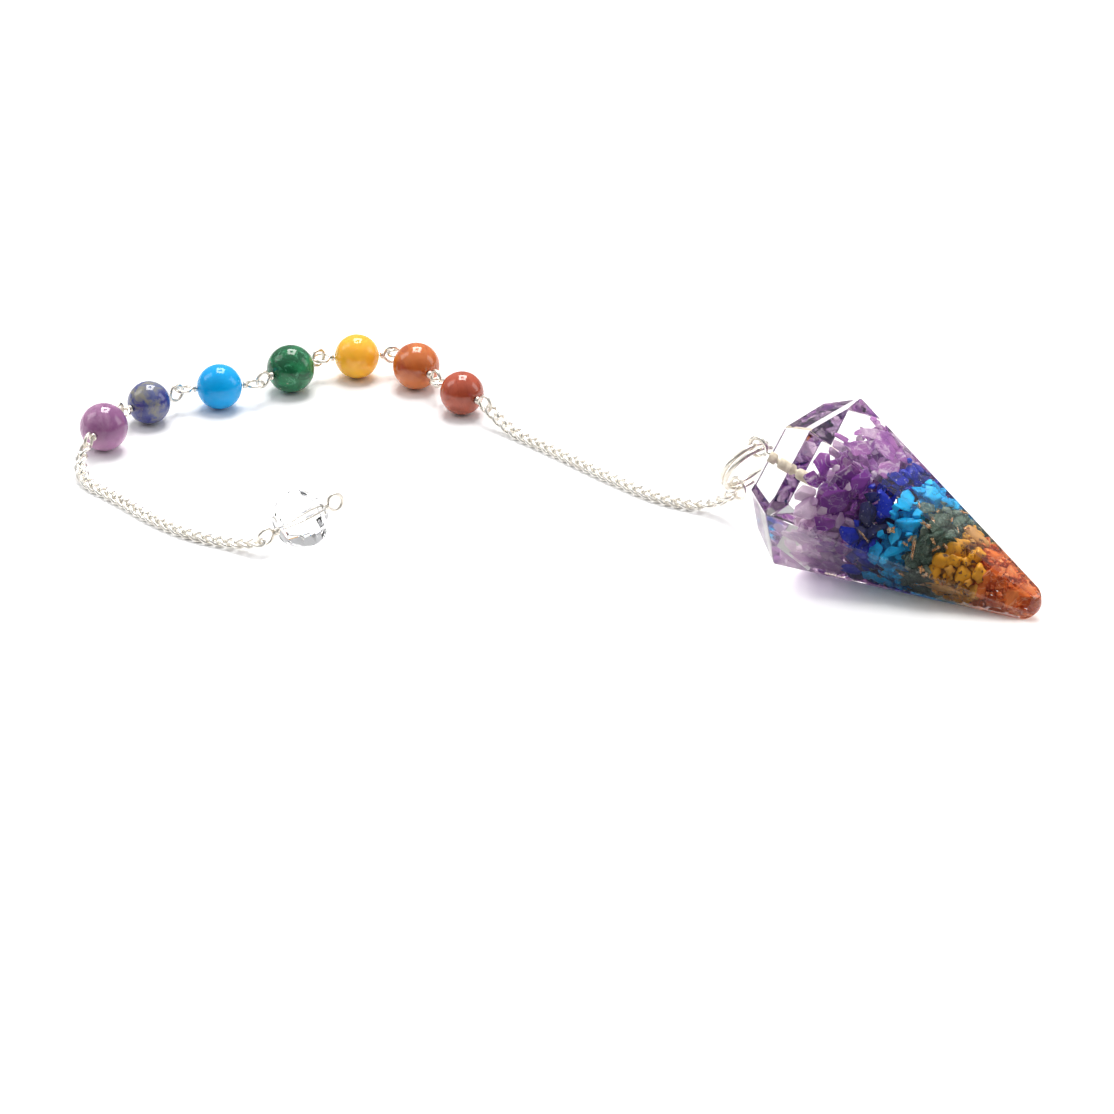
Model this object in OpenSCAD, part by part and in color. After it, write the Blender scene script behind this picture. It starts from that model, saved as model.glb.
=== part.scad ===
// Seven-stone pendulum pendant, lying on a flat surface.
// A clear hexagonal resin point holds layers of stone chips and copper shavings. A screw eye in its
// table carries a split ring, a curb chain, seven wired beads, a second chain and a crystal bead.
// Millimetres, +Z up, everything rests on the plane z = 0.

/* [Pendant] */
// Width of the girdle across opposite corners
pendant_w = 23.9; // [21:0.1:27]
// Distance from the girdle to where the long facets would meet
facet_run = 40.9; // [39:0.1:45]
// Distance from the girdle to the rounded tip
point_len = 34.5; // [31:0.1:36]
// Height of the crown from the girdle to the table
crown_h = 4.35; // [3:0.05:6]
// Width of the table as a share of the girdle
table_share = 0.75; // [0.6:0.01:0.85]
// Clear resin between the stones and the long facets
wall_t = 0.8; // [0.6:0.05:1.4]

/* [Stones in the resin] */
// Width of the largest chips
chip_w = 3.8; // [3:0.1:4.5]
// Space between neighbouring chips
chip_space = 0.32; // [0.25:0.01:0.6]
// Gap between a chip and its pocket in the resin
pocket_gap = 0.1; // [0.06:0.01:0.12]
// Thickness of the copper shavings
flake_t = 0.15; // [0.1:0.01:0.25]

/* [Eye and rings] */
// Width of the screw eye
eye_w = 3.1; // [2.9:0.05:3.6]
// Wire of the screw eye
eye_wire = 0.6; // [0.5:0.01:0.65]
// Distance from the table to the middle of the eye
eye_reach = 5.1; // [4.5:0.1:7]
// Diameter of the glue plug around the shank
plug_w = 1.5; // [1.2:0.05:2]
// Depth of the glue plug in the crown
plug_len = 4.8; // [3.5:0.1:5.2]
// Outer diameter of the split ring
split_ring_w = 8.3; // [7.5:0.1:9.5]
// Wire of the split ring
split_wire = 0.6; // [0.5:0.01:0.62]
// Outer diameter of the jump ring between the split ring and the chain
jump_ring_w = 3.3; // [3.2:0.05:3.8]
// Wire of the jump ring
jump_wire = 0.46; // [0.4:0.01:0.5]

/* [Chains] */
// Length of a chain link
link_len = 2.94; // [2.85:0.01:3.05]
// Width of a chain link
link_w = 1.84; // [1.8:0.01:1.95]
// Wire of a chain link
link_wire = 0.44; // [0.38:0.01:0.46]
// Distance from one link to the next
link_pitch = 1.55; // [1.5:0.01:1.6]
// Links between the pendant and the beads
pendant_chain_links = 29; // [24:1:34]
// Links between the beads and the crystal
crystal_chain_links = 25; // [20:1:30]

/* [Beads] */
// Diameter of a middle-sized bead
bead_w = 6.1; // [5.6:0.1:6.6]
// Hole through a bead
bead_bore = 0.7; // [0.55:0.05:0.75]
// Wire of the bead pins
pin_wire = 0.45; // [0.4:0.01:0.48]
// Outer diameter of a pin's loops
loop_w = 2.6; // [2.5:0.05:2.9]
// Turns of wire wrapped at each side of a bead
wrap_turns = 2; // [1:1:3]

/* [Crystal] */
// Width of the crystal bead across opposite corners
crystal_w = 8; // [7:0.1:9]
// Length of the crystal bead along its hole
crystal_len = 6.2; // [5.5:0.1:7]
// Turns of wire wrapped at each side of the crystal
crystal_wrap_turns = 3; // [2:1:3]

/* [Fit] */
// Gap around the glue plug and around the shank in it
plug_gap = 0.03; // [0.02:0.01:0.06]
// Play between two loops that hold each other
loop_gap = 0.12; // [0.1:0.01:0.16]
// Play between a chain's end link and the loop or ring it holds
hook_gap = 0.24; // [0.2:0.01:0.3]
// Play between a stone and the wraps beside it
stone_gap = 0.06; // [0.04:0.01:0.1]

/* [Hidden] */
$fn = 48;

// Where the girdle stands over the resting plane, and where the pendant points
place_x = 34.08;
place_y = -18.29;
pendant_heading = -35.5;

// Pendant: u runs from the girdle to the tip, v across, w up from the resting facet
girdle_r = pendant_w / 2;
girdle_apothem = girdle_r * cos(30);
lie = atan(girdle_apothem / facet_run);
tip_r = (facet_run - point_len) / (1 / sin(lie) - 1);
tip_turns = [lie, 30, 48, 64, 78];
girdle_z = girdle_apothem * cos(lie);

function apothem_at(u) = (facet_run - u) * tan(lie);

// A direction from its heading in the plane and its slope
function aim(heading, slope) =
    [cos(slope) * cos(heading), cos(slope) * sin(heading), sin(slope)];

pendant_dir = aim(pendant_heading, -lie);
girdle_at = [place_x, place_y, girdle_z];
eye_at = girdle_at - pendant_dir * (crown_h + eye_reach);

// Stone layers, from the girdle to the tip. Start and end are shares of the point's length, and
// size is a share of the largest chip.
zone_start = 0;
zone_end = 1;
zone_layers = 2;
zone_size = 3;
zones = [
    [0.02, 0.25, 2, 1.00],
    [0.25, 0.36, 1, 0.80],
    [0.36, 0.47, 1, 0.76],
    [0.47, 0.61, 2, 0.62],
    [0.61, 0.75, 2, 0.50],
    [0.75, 0.94, 2, 0.38]
];
amethyst_zone = 0;
lapis_zone = 1;
turquoise_zone = 2;
aventurine_zone = 3;
citrine_zone = 4;
carnelian_zone = 5;
chip_sides = 5;
// A chip narrower than this share of its layer's width is left out
least_chip = 0.42;
// Width around the axis and distance between the two rings of corners, as shares
chip_around = 0.7;
chip_belt = 0.65;
// Shares of a flake's place: one fold along, one fold outward, and its depth
fold_along = 0.42;
fold_out = 0.25;
flake_depth = 1.3;
flake_every = 3;
flake_zones = [turquoise_zone, aventurine_zone];

// Split ring: it hangs from the eye and leans away from the pendant
split_turn = 38.3;
split_lean = 28.4;
split_r = (split_ring_w - split_wire) / 2;
turn_space = 0.18;
split_pitch = split_wire + turn_space;
split_down = [-sin(split_lean) * sin(split_turn), sin(split_lean) * cos(split_turn), -cos(split_lean)];
split_at = eye_at + split_down * split_r;
split_low = split_at + split_down * split_r;
split_sections = 60;
split_sides = 8;
// Angles along the wire from its first end, which stands this far around from the ring's side
split_start = 60;
split_jog_start = 245;
split_jog = 50;
split_end = 600;

jump_r = (jump_ring_w - jump_wire) / 2;
jump_hang = sqrt(pow(jump_r - jump_wire / 2, 2) - pow((split_pitch + split_wire) / 2, 2))
    - split_wire / 2 - loop_gap;
jump_at = split_low + split_down * jump_hang;
jump_axis = aim(split_turn, 0);

// Chain links
link_half = (link_len - link_wire) / 2;
link_half_w = (link_w - link_wire) / 2;
link_twist = 60;
// Twist of a link where a ring passes through it, as a share of the twist at its end
hook_share = 0.65;
hook_twist = link_twist * hook_share;
link_sections = 14;
link_sides = 5;
// How far a flat-lying link's wire reaches below its middle, as a share of its half width
link_dip = 0.48;
floor_play = 0.03;
chain_floor = link_half_w * link_dip + link_wire / 2 + floor_play;

// Bead pins: a stem, wraps of thinner wire beside the stone, and a loop at each end. Shares are
// of the pin's wire, and of the wraps' wire for the pitch and how far the wraps stand off the stem.
stem_share = 0.43;
wrap_share = 0.65;
pitch_share = 1.06;
stand_off = 0.4;
loop_r = (loop_w - pin_wire) / 2;
stem_r = pin_wire * stem_share;
wrap_wire = pin_wire * wrap_share;
wrap_pitch = wrap_wire * pitch_share;
wrap_r = stem_r + wrap_wire * stand_off;

// Lay of the chains on the surface: heading against the share of the chain's length
pendant_chain_lay = [
    [0, 127.5], [0.1, 152.5], [0.2, 154], [0.35, 134.5], [0.6, 131], [0.85, 134], [1, 131.5]
];
crystal_chain_lay = [
    [0, 245.5], [0.08, 270], [0.16, 294], [0.24, 316], [0.4, 306.5], [0.6, 313.5], [0.8, 333.5],
    [0.92, 330], [1, 335]
];
// Links that hang between the surface and what each end of a chain holds
hang_from_ring = 6;
hang_to_bead = 5;
hang_from_bead = 6;
hang_to_crystal = 5;

// Beads: size as a share, heading of the hole, heading and share of the step to the next loop,
// and roll of the first and second loop, where 0 lies level and 90 stands upright
bead_size = 0;
bead_heading = 1;
step_heading = 2;
step_share = 3;
roll_in = 4;
roll_out = 5;
beads = [
    [0.955, 131.5, 123.5, 0.43, 90, 4],
    [1.030, 123.5, 186.5, 0.38, 92, 0],
    [0.975, 186.5, 224.5, 0.42, 88, -6],
    [1.050, 224.5, 224.5, 0.92, 90, 84],
    [0.990, 190.5, 221, 0.79, 0, 5],
    [0.940, 221, 249, 0.45, 90, -5],
    [1.040, 249, 249, 0.50, 90, 90]
];
loop_step_max = 2 * loop_r - pin_wire - loop_gap;

// Crystal: rows of facets by distance along the hole and by radius, as shares
crystal_sides = 10;
crystal_rows = [[-1, 0.50], [-0.5, 0.90], [0, 1], [0.5, 0.90], [1, 0.50]];
crystal_heading = 30.5;
crystal_roll_in = 97;
crystal_roll_out = 86;
crystal_r = crystal_w / 2;
crystal_cos = cos(180 / crystal_sides);
crystal_lie = atan(crystal_r * (crystal_rows[2][1] - crystal_rows[1][1]) * crystal_cos
    / (crystal_len / 2 * (crystal_rows[2][0] - crystal_rows[1][0])));
crystal_z = crystal_r * crystal_cos * cos(crystal_lie);
crystal_reach = crystal_len / 2 + stone_gap + crystal_wrap_turns * wrap_pitch + loop_r;

// From the middle of a loop or ring to the first joint of a chain that leaves it along away
function hook(ring_r, ring_wire, ring_axis, away) =
    let (flat = away - ring_axis * (ring_axis * away))
    ring_r * flat / norm(flat)
        + (link_half - link_pitch / 2 - (ring_wire + link_wire) / 2 - hook_gap) * away;

// Axis of a loop from the heading, slope and roll of its pin
function loop_axis(heading, slope, roll) = [
    sin(roll) * sin(heading) - cos(roll) * sin(slope) * cos(heading),
    -sin(roll) * cos(heading) - cos(roll) * sin(slope) * sin(heading),
    cos(roll) * cos(slope)
];

// Share of a hanging stretch's height that its first link loses
function first_fall(links) = 2 / links - 1 / pow(links, 2);

// Height of a chain's end joint, when it hooks on a ring at height z and leaves it that way. Each
// round takes the slope from the height before it.
function end_height(z, ring_r, ring_wire, ring_axis, heading, links, rounds = 8) =
    rounds == 0 ? z
    : let (
        guess = end_height(z, ring_r, ring_wire, ring_axis, heading, links, rounds - 1),
        slope = asin(min(0.95, (guess - chain_floor) * first_fall(links) / link_pitch))
    )
    z + hook(ring_r, ring_wire, ring_axis, aim(heading, -slope))[2];

// Roll of a link whose end holds a ring: side is -1 for the link's start and 1 for its end
function hook_roll(link_aim, side, ring_axis) =
    let (
        along_link = aim(link_aim[0], link_aim[1]),
        across = cross(along_link, cross(ring_axis, along_link)),
        flat = aim(link_aim[0] + 90, 0),
        turn = atan2(across * cross(along_link, flat), across * flat) - side * hook_twist
    )
    turn - 180 * round(turn / 180);

function joint_height(i, count, z_start, z_end, links_start, links_end) =
    chain_floor
    + (z_start - chain_floor) * pow(max(0, 1 - i / links_start), 2)
    + (z_end - chain_floor) * pow(max(0, 1 - (count - i) / links_end), 2);

// Headings and slopes of a chain's links
function chain_aims(lay, count, z_start, z_end, links_start, links_end) = [
    for (i = [0 : count - 1])
        [
            lookup((i + 0.5) / count, lay),
            asin((joint_height(i + 1, count, z_start, z_end, links_start, links_end)
                - joint_height(i, count, z_start, z_end, links_start, links_end)) / link_pitch)
        ]
];

function first_aim(aims) = aim(aims[0][0], aims[0][1]);
function last_aim(aims) = let (last = aims[len(aims) - 1]) aim(last[0], last[1]);

// Joints of a chain, from its first one
function chain_joints(first, aims) =
    let (steps = [for (a = aims) link_pitch * aim(a[0], a[1])])
    [for (i = 0, p = first; i <= len(steps); p = i < len(steps) ? p + steps[i] : p, i = i + 1) p];

function bead_r(i) = bead_w / 2 * beads[i][bead_size];
function bead_reach(i) = bead_r(i) + stone_gap + wrap_turns * wrap_pitch + loop_r;
function bead_aim(i) = aim(beads[i][bead_heading], 0);
function level(p, z) = [p[0], p[1], z];

// Middle of the loop that a bead starts with, walking from the chain's end
function loop_in(i, first) = i == 0
    ? level(first, bead_r(0))
    : level(bead_middle(i - 1, first) + bead_reach(i - 1) * bead_aim(i - 1)
        + beads[i - 1][step_share] * loop_step_max * aim(beads[i - 1][step_heading], 0), bead_r(i));
function bead_middle(i, first) = loop_in(i, first) + bead_reach(i) * bead_aim(i);

// Pendant chain, beads and crystal chain, each starting where the last one ends
last_bead = len(beads) - 1;
first_axis = loop_axis(beads[0][bead_heading], 0, beads[0][roll_in]);
pendant_chain_aims = chain_aims(
    pendant_chain_lay, pendant_chain_links,
    end_height(
        jump_at[2], jump_r, jump_wire, jump_axis,
        lookup(0.5 / pendant_chain_links, pendant_chain_lay), hang_from_ring
    ),
    end_height(
        bead_r(0), loop_r, pin_wire, first_axis,
        lookup(1 - 0.5 / pendant_chain_links, pendant_chain_lay) + 180, hang_to_bead
    ),
    hang_from_ring, hang_to_bead
);
pendant_chain_joints = chain_joints(
    jump_at + hook(jump_r, jump_wire, jump_axis, first_aim(pendant_chain_aims)), pendant_chain_aims
);
first_loop = pendant_chain_joints[pendant_chain_links]
    - hook(loop_r, pin_wire, first_axis, -last_aim(pendant_chain_aims));
last_loop = bead_middle(last_bead, first_loop) + bead_reach(last_bead) * bead_aim(last_bead);
last_axis = loop_axis(beads[last_bead][bead_heading], 0, beads[last_bead][roll_out]);
crystal_axis = loop_axis(crystal_heading, crystal_lie, crystal_roll_in);
crystal_chain_aims = chain_aims(
    crystal_chain_lay, crystal_chain_links,
    end_height(
        last_loop[2], loop_r, pin_wire, last_axis,
        lookup(0.5 / crystal_chain_links, crystal_chain_lay), hang_from_bead
    ),
    end_height(
        crystal_z - crystal_reach * sin(crystal_lie), loop_r, pin_wire, crystal_axis,
        lookup(1 - 0.5 / crystal_chain_links, crystal_chain_lay) + 180, hang_to_crystal
    ),
    hang_from_bead, hang_to_crystal
);
crystal_chain_joints = chain_joints(
    last_loop + hook(loop_r, pin_wire, last_axis, first_aim(crystal_chain_aims)), crystal_chain_aims
);
crystal_loop = crystal_chain_joints[crystal_chain_links]
    - hook(loop_r, pin_wire, crystal_axis, -last_aim(crystal_chain_aims));
crystal_at = level(crystal_loop + crystal_reach * aim(crystal_heading, crystal_lie), crystal_z);

// Roll of a chain's links where an end holds a ring or loop, easing to flat on the surface
pendant_chain_roll = [
    [0, hook_roll(pendant_chain_aims[0], -1, jump_axis)], [0.17, 0], [0.86, 0],
    [1, hook_roll(pendant_chain_aims[pendant_chain_links - 1], 1, first_axis)]
];
crystal_chain_roll = [
    [0, hook_roll(crystal_chain_aims[0], -1, last_axis)], [0.2, 0], [0.85, 0],
    [1, hook_roll(crystal_chain_aims[crystal_chain_links - 1], 1, crystal_axis)]
];

// Sets what is drawn along +X into place
module along(at, heading, slope = 0, roll = 0) {
    translate(at) rotate([0, -slope, heading]) rotate([roll, 0, 0]) children();
}

module in_pendant() {
    along(girdle_at, pendant_heading, -lie) children();
}

// A tube of the given sides around a closed or open run of points. Each section stands on the
// given outward directions.
module tube(path, outward, wire_r, sides, closed) {
    count = len(path);
    points = [
        for (i = [0 : count - 1])
            let (
                after = closed ? path[(i + 1) % count] : path[min(i + 1, count - 1)],
                before = closed ? path[(i + count - 1) % count] : path[max(i - 1, 0)],
                forward = (after - before) / norm(after - before),
                flat_out = outward[i] - forward * (outward[i] * forward),
                out = flat_out / norm(flat_out),
                up = cross(forward, out)
            )
            for (k = [0 : sides - 1])
                path[i] + wire_r * (cos(360 * k / sides) * out + sin(360 * k / sides) * up)
    ];
    walls = [
        for (i = [0 : count - (closed ? 1 : 2)], k = [0 : sides - 1])
            let (j = (i + 1) % count, m = (k + 1) % sides)
            each [
                [i * sides + k, j * sides + k, i * sides + m],
                [i * sides + m, j * sides + k, j * sides + m]
            ]
    ];
    ends = closed ? [] : [
        [for (k = [0 : sides - 1]) k],
        [for (k = [0 : sides - 1]) count * sides - 1 - k]
    ];
    polyhedron(points, concat(walls, ends));
}

// A body with flat-sided rings across +X: each ring has its distance and its corner radius
module ring_stack(rings, sides, turn) {
    count = len(rings);
    points = [
        for (ring = rings, k = [0 : sides - 1])
            [ring[0], ring[1] * cos(turn + 360 * k / sides), ring[1] * sin(turn + 360 * k / sides)]
    ];
    walls = [
        for (i = [0 : count - 2], k = [0 : sides - 1])
            let (m = (k + 1) % sides)
            [i * sides + k, (i + 1) * sides + k, (i + 1) * sides + m, i * sides + m]
    ];
    ends = [
        [for (k = [0 : sides - 1]) k],
        [for (k = [0 : sides - 1]) count * sides - 1 - k]
    ];
    polyhedron(points, concat(walls, ends));
}

// A ring of round wire across +Z, which starts a quarter turn from +X
module wire_ring(middle_r, wire) {
    rotate([0, 0, 90]) rotate_extrude() translate([middle_r, 0]) rotate(180) circle(wire / 2);
}

// Places in one stone layer: distance along the point, angle, distance from the axis, and half
// sizes along, outward and around. An outer row comes first, then rows inside it.
function layer_rows(u, half_u, room, width, turn) =
    room < width * least_chip ? [] :
    let (
        pitch_w = width + chip_space,
        row_r = room - width / 2,
        alone = row_r < pitch_w / 2,
        count = alone ? 1 : floor(180 / asin(pitch_w / 2 / row_r)),
        half_out = (alone ? min(width, 2 * room) : width) / 2,
        half_around = alone ? half_out : min(width * chip_around, row_r * sin(180 / count) - chip_space / 2)
    )
    concat(
        [
            for (j = [0 : count - 1])
                [u, turn + 360 * j / count, alone ? 0 : row_r, half_u, half_out, half_around, j]
        ],
        layer_rows(u, half_u, room - pitch_w, width, turn + 37)
    );

function zone_places(zone) =
    let (
        row = zones[zone],
        layer_u = (row[zone_end] - row[zone_start]) * point_len / row[zone_layers]
    )
    [
        for (layer = [0 : row[zone_layers] - 1])
            let (
                u = row[zone_start] * point_len + (layer + 0.5) * layer_u,
                room = apothem_at(u + layer_u / 2) - wall_t,
                width = min(chip_w * row[zone_size], 2 * room)
            )
            each layer_rows(u, (layer_u - chip_space) / 2, room, width, 47 * layer + 71 * zone)
    ];

function is_flake(zone, place) =
    len(search(zone, flake_zones)) > 0 && place[2] > 0 && place[6] % flake_every == 1;

// An uneven stone chip: two rings of corners and two ends, inside its own half sizes
module chip(half_u, half_out, half_around, seed) {
    jitter = rands(0.72, 1, 2 * chip_sides + 2, seed);
    swing = rands(-12, 12, 2 * chip_sides, seed + 500);
    points = concat(
        [[-half_u * jitter[2 * chip_sides], 0, 0]],
        [
            for (ring = [0, 1], k = [0 : chip_sides - 1])
                let (
                    n = ring * chip_sides + k,
                    turn = 360 * (k + ring * 0.5) / chip_sides + swing[n]
                )
                [
                    half_u * (2 * ring - 1) * chip_belt * jitter[n],
                    half_out * jitter[n] * cos(turn),
                    half_around * jitter[n] * sin(turn)
                ]
        ],
        [[half_u * jitter[2 * chip_sides + 1], 0, 0]]
    );
    faces = [
        for (k = [0 : chip_sides - 1])
            let (a = 1 + k, b = 1 + (k + 1) % chip_sides, c = a + chip_sides, d = b + chip_sides)
            each [[0, a, b], [a, c, b], [b, c, d], [2 * chip_sides + 1, d, c]]
    ];
    polyhedron(points, faces);
}

// A crumpled copper shaving: a thin strip folded in even zigzags. Extra grows it on every side.
module flake(half_u, half_out, half_around, extra) {
    step = half_around * fold_along;
    bend = half_out * fold_out;
    slope = atan(2 * bend / step);
    thick = (flake_t / 2 + extra) / cos(slope);
    run_out = extra * [cos(slope), -sin(slope)];
    line = [
        [-2 * step, -bend] + [-run_out[0], run_out[1]], [-step, bend], [0, -bend], [step, bend],
        [2 * step, -bend] + run_out
    ];
    depth = flake_depth * half_u + 2 * extra;
    rotate([0, -90, 0]) translate([0, 0, -depth / 2]) linear_extrude(depth)
        polygon(concat(
            [for (p = line) p - [0, thick]],
            [for (i = [len(line) - 1 : -1 : 0]) line[i] + [0, thick]]
        ));
}

// Sets a chip or shaving in its place in the pendant
module in_place(place) {
    in_pendant() rotate([place[1], 0, 0]) translate([place[0], place[2], 0]) children();
}

module zone_chips(zone, extra = 0) {
    places = zone_places(zone);
    for (n = [0 : len(places) - 1])
        if (!is_flake(zone, places[n]))
            in_place(places[n])
                chip(places[n][3] + extra, places[n][4] + extra, places[n][5] + extra, 100 * zone + n);
}

module zone_flakes(zone, extra = 0) {
    for (place = zone_places(zone))
        if (is_flake(zone, place))
            in_place(place) flake(place[3], place[4], place[5], extra);
}

module resin_body() {
    crown = [[-crown_h, girdle_r * table_share], [0, girdle_r]];
    tip = [
        for (turn = tip_turns)
            [facet_run - tip_r / sin(lie) + tip_r * sin(turn), tip_r * cos(turn) / cos(30)]
    ];
    color("lavender", 0.4) difference() {
        in_pendant() ring_stack(concat(crown, tip), 6, 0);
        in_pendant() translate([-crown_h - 1, 0, 0]) rotate([0, 90, 0])
            cylinder(d = plug_w + 2 * plug_gap, h = plug_len + plug_gap + 1);
        for (zone = [0 : len(zones) - 1]) zone_chips(zone, pocket_gap);
        for (zone = flake_zones) zone_flakes(zone, pocket_gap);
    }
}

module amethyst_chips() {
    color("mediumpurple") zone_chips(amethyst_zone);
}

module lapis_chips() {
    color("mediumblue") zone_chips(lapis_zone);
}

module turquoise_chips() {
    color("deepskyblue") zone_chips(turquoise_zone);
}

module aventurine_chips() {
    color("seagreen") zone_chips(aventurine_zone);
}

module citrine_chips() {
    color("goldenrod") zone_chips(citrine_zone);
}

module carnelian_chips() {
    color("orangered") zone_chips(carnelian_zone);
}

module copper_flakes() {
    color("peru") for (zone = flake_zones) zone_flakes(zone);
}

module glue_plug() {
    color("wheat") in_pendant() translate([-crown_h, 0, 0]) rotate([0, 90, 0]) difference() {
        cylinder(d = plug_w, h = plug_len);
        translate([0, 0, -1]) cylinder(d = eye_wire + 2 * plug_gap, h = plug_len + 2);
    }
}

module screw_eye() {
    ring_r = (eye_w - eye_wire) / 2;
    color("silver") in_pendant() translate([-crown_h - eye_reach, 0, 0]) union() {
        rotate([90, 0, 0]) wire_ring(ring_r, eye_wire);
        translate([ring_r, 0, 0]) rotate([0, 90, 0])
            cylinder(d = eye_wire * 0.94, h = eye_reach + plug_len * 0.9 - ring_r);
    }
}

// Two turns of wire side by side, joined by a short jog
module split_ring() {
    turns = [for (i = [0 : split_sections]) split_end * i / split_sections];
    path = [
        for (t = turns)
            let (share = max(0, min(1, (t - split_jog_start) / split_jog)))
            [split_r * cos(t), split_r * sin(t), split_pitch * (share * share * (3 - 2 * share) - 0.5)]
    ];
    outward = [for (t = turns) [cos(t), sin(t), 0]];
    color("silver") translate(split_at) rotate([0, 0, split_turn]) rotate([90 + split_lean, 0, 0])
        rotate([0, 0, split_start]) tube(path, outward, split_wire / 2, split_sides, false);
}

module jump_ring() {
    color("silver") translate(jump_at) rotate([0, 0, split_turn]) rotate([0, 90, 0])
        wire_ring(jump_r, jump_wire);
}

// One curb link along +X, twisted so that its ends stand across each other
module curb_link() {
    turns = [for (i = [0 : link_sections - 1]) 360 * i / link_sections];
    path = [
        for (t = turns)
            let (twist = link_twist * cos(t))
            [
                link_half * cos(t),
                link_half_w * sin(t) * cos(twist),
                link_half_w * sin(t) * sin(twist)
            ]
    ];
    tube(path, path, link_wire / 2, link_sides, true);
}

module chain(joints, aims, rolls) {
    for (i = [0 : len(aims) - 1])
        along((joints[i] + joints[i + 1]) / 2, aims[i][0], aims[i][1], lookup(i / (len(aims) - 1), rolls))
            curb_link();
}

module pendant_chain() {
    color("gainsboro") chain(pendant_chain_joints, pendant_chain_aims, pendant_chain_roll);
}

module crystal_chain() {
    color("gainsboro") chain(crystal_chain_joints, crystal_chain_aims, crystal_chain_roll);
}

module stone_bead(i) {
    along(bead_middle(i, first_loop), beads[i][bead_heading]) rotate([0, 90, 0]) difference() {
        sphere(bead_r(i));
        translate([0, 0, -bead_w]) cylinder(d = bead_bore, h = 2 * bead_w);
    }
}

// A straight wire along +X with a loop at each end and wraps where it leaves the stone
module wired_pin(half_stone, turns, first_roll, last_roll) {
    wraps_from = half_stone + stone_gap;
    half_stem = wraps_from + turns * wrap_pitch;
    loop_at = half_stem + loop_r;
    union() {
        rotate([0, 90, 0]) rotate_extrude() {
            translate([0, -half_stem]) square([stem_r, 2 * half_stem]);
            for (side = [-1, 1], turn = [0 : turns - 1])
                translate([wrap_r, side * (wraps_from + (turn + 0.5) * wrap_pitch)]) circle(wrap_wire / 2);
        }
        for (side = [[-1, first_roll], [1, last_roll]])
            translate([side[0] * loop_at, 0, 0]) rotate([side[1], 0, 0]) wire_ring(loop_r, pin_wire);
    }
}

module bead_pin(i) {
    along(bead_middle(i, first_loop), beads[i][bead_heading])
        wired_pin(bead_r(i), wrap_turns, beads[i][roll_in], beads[i][roll_out]);
}

module red_bead() {
    color("firebrick") stone_bead(0);
}

module orange_bead() {
    color("chocolate") stone_bead(1);
}

module yellow_bead() {
    color("orange") stone_bead(2);
}

module green_bead() {
    color("darkgreen") stone_bead(3);
}

module turquoise_bead() {
    color("deepskyblue") stone_bead(4);
}

module blue_bead() {
    color("darkslateblue") stone_bead(5);
}

module violet_bead() {
    color("mediumorchid") stone_bead(6);
}

module red_pin() {
    color("silver") bead_pin(0);
}

module orange_pin() {
    color("silver") bead_pin(1);
}

module yellow_pin() {
    color("silver") bead_pin(2);
}

module green_pin() {
    color("silver") bead_pin(3);
}

module turquoise_pin() {
    color("silver") bead_pin(4);
}

module blue_pin() {
    color("silver") bead_pin(5);
}

module violet_pin() {
    color("silver") bead_pin(6);
}

module crystal_bead() {
    rows = [for (row = crystal_rows) [row[0] * crystal_len / 2, row[1] * crystal_r]];
    color("azure", 0.6) along(crystal_at, crystal_heading, crystal_lie) difference() {
        ring_stack(rows, crystal_sides, 180 / crystal_sides - 90);
        rotate([0, 90, 0]) translate([0, 0, -crystal_len]) cylinder(d = bead_bore, h = 2 * crystal_len);
    }
}

module crystal_pin() {
    color("silver") along(crystal_at, crystal_heading, crystal_lie)
        wired_pin(crystal_len / 2, crystal_wrap_turns, crystal_roll_in, crystal_roll_out);
}

resin_body();
amethyst_chips();
lapis_chips();
turquoise_chips();
aventurine_chips();
citrine_chips();
carnelian_chips();
copper_flakes();
glue_plug();
screw_eye();
split_ring();
jump_ring();
pendant_chain();
red_bead();
orange_bead();
yellow_bead();
green_bead();
turquoise_bead();
blue_bead();
violet_bead();
red_pin();
orange_pin();
yellow_pin();
green_pin();
turquoise_pin();
blue_pin();
violet_pin();
crystal_chain();
crystal_bead();
crystal_pin();
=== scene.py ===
import math

import bmesh
import bpy
import numpy as np
from mathutils import Matrix, Vector


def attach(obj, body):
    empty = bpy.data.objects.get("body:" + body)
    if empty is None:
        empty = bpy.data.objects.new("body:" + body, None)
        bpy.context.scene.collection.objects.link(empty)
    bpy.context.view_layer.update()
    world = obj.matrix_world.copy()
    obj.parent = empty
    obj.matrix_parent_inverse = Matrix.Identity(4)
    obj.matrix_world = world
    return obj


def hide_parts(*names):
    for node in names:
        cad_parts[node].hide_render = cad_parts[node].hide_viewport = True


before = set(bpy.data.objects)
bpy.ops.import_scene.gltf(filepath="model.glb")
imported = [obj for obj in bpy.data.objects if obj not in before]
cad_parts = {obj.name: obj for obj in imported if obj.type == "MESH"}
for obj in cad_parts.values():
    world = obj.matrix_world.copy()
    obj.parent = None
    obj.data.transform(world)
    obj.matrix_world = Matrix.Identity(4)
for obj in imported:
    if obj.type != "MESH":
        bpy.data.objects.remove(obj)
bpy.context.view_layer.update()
scene = bpy.context.scene
mm = 0.001  # sizes below are in millimetres, as on the bench
fullTurn = 6.28  # radians that a random turn is drawn from
print("frame loaded:", len(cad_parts), "nodes")


def placedAt(at, heading, slope=0.0):  # sets what is made along +X into place
    turn = Matrix.Rotation(math.radians(heading), 4, "Z") @ Matrix.Rotation(-math.radians(slope), 4, "Y")
    return Matrix.Translation(Vector(at)) @ turn


def meshFrom(name, points, faces=(), edges=()):
    mesh = bpy.data.meshes.new(name)
    mesh.from_pydata([Vector(p) * mm for p in points], list(edges), list(faces))
    mesh.update()
    return mesh


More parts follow.
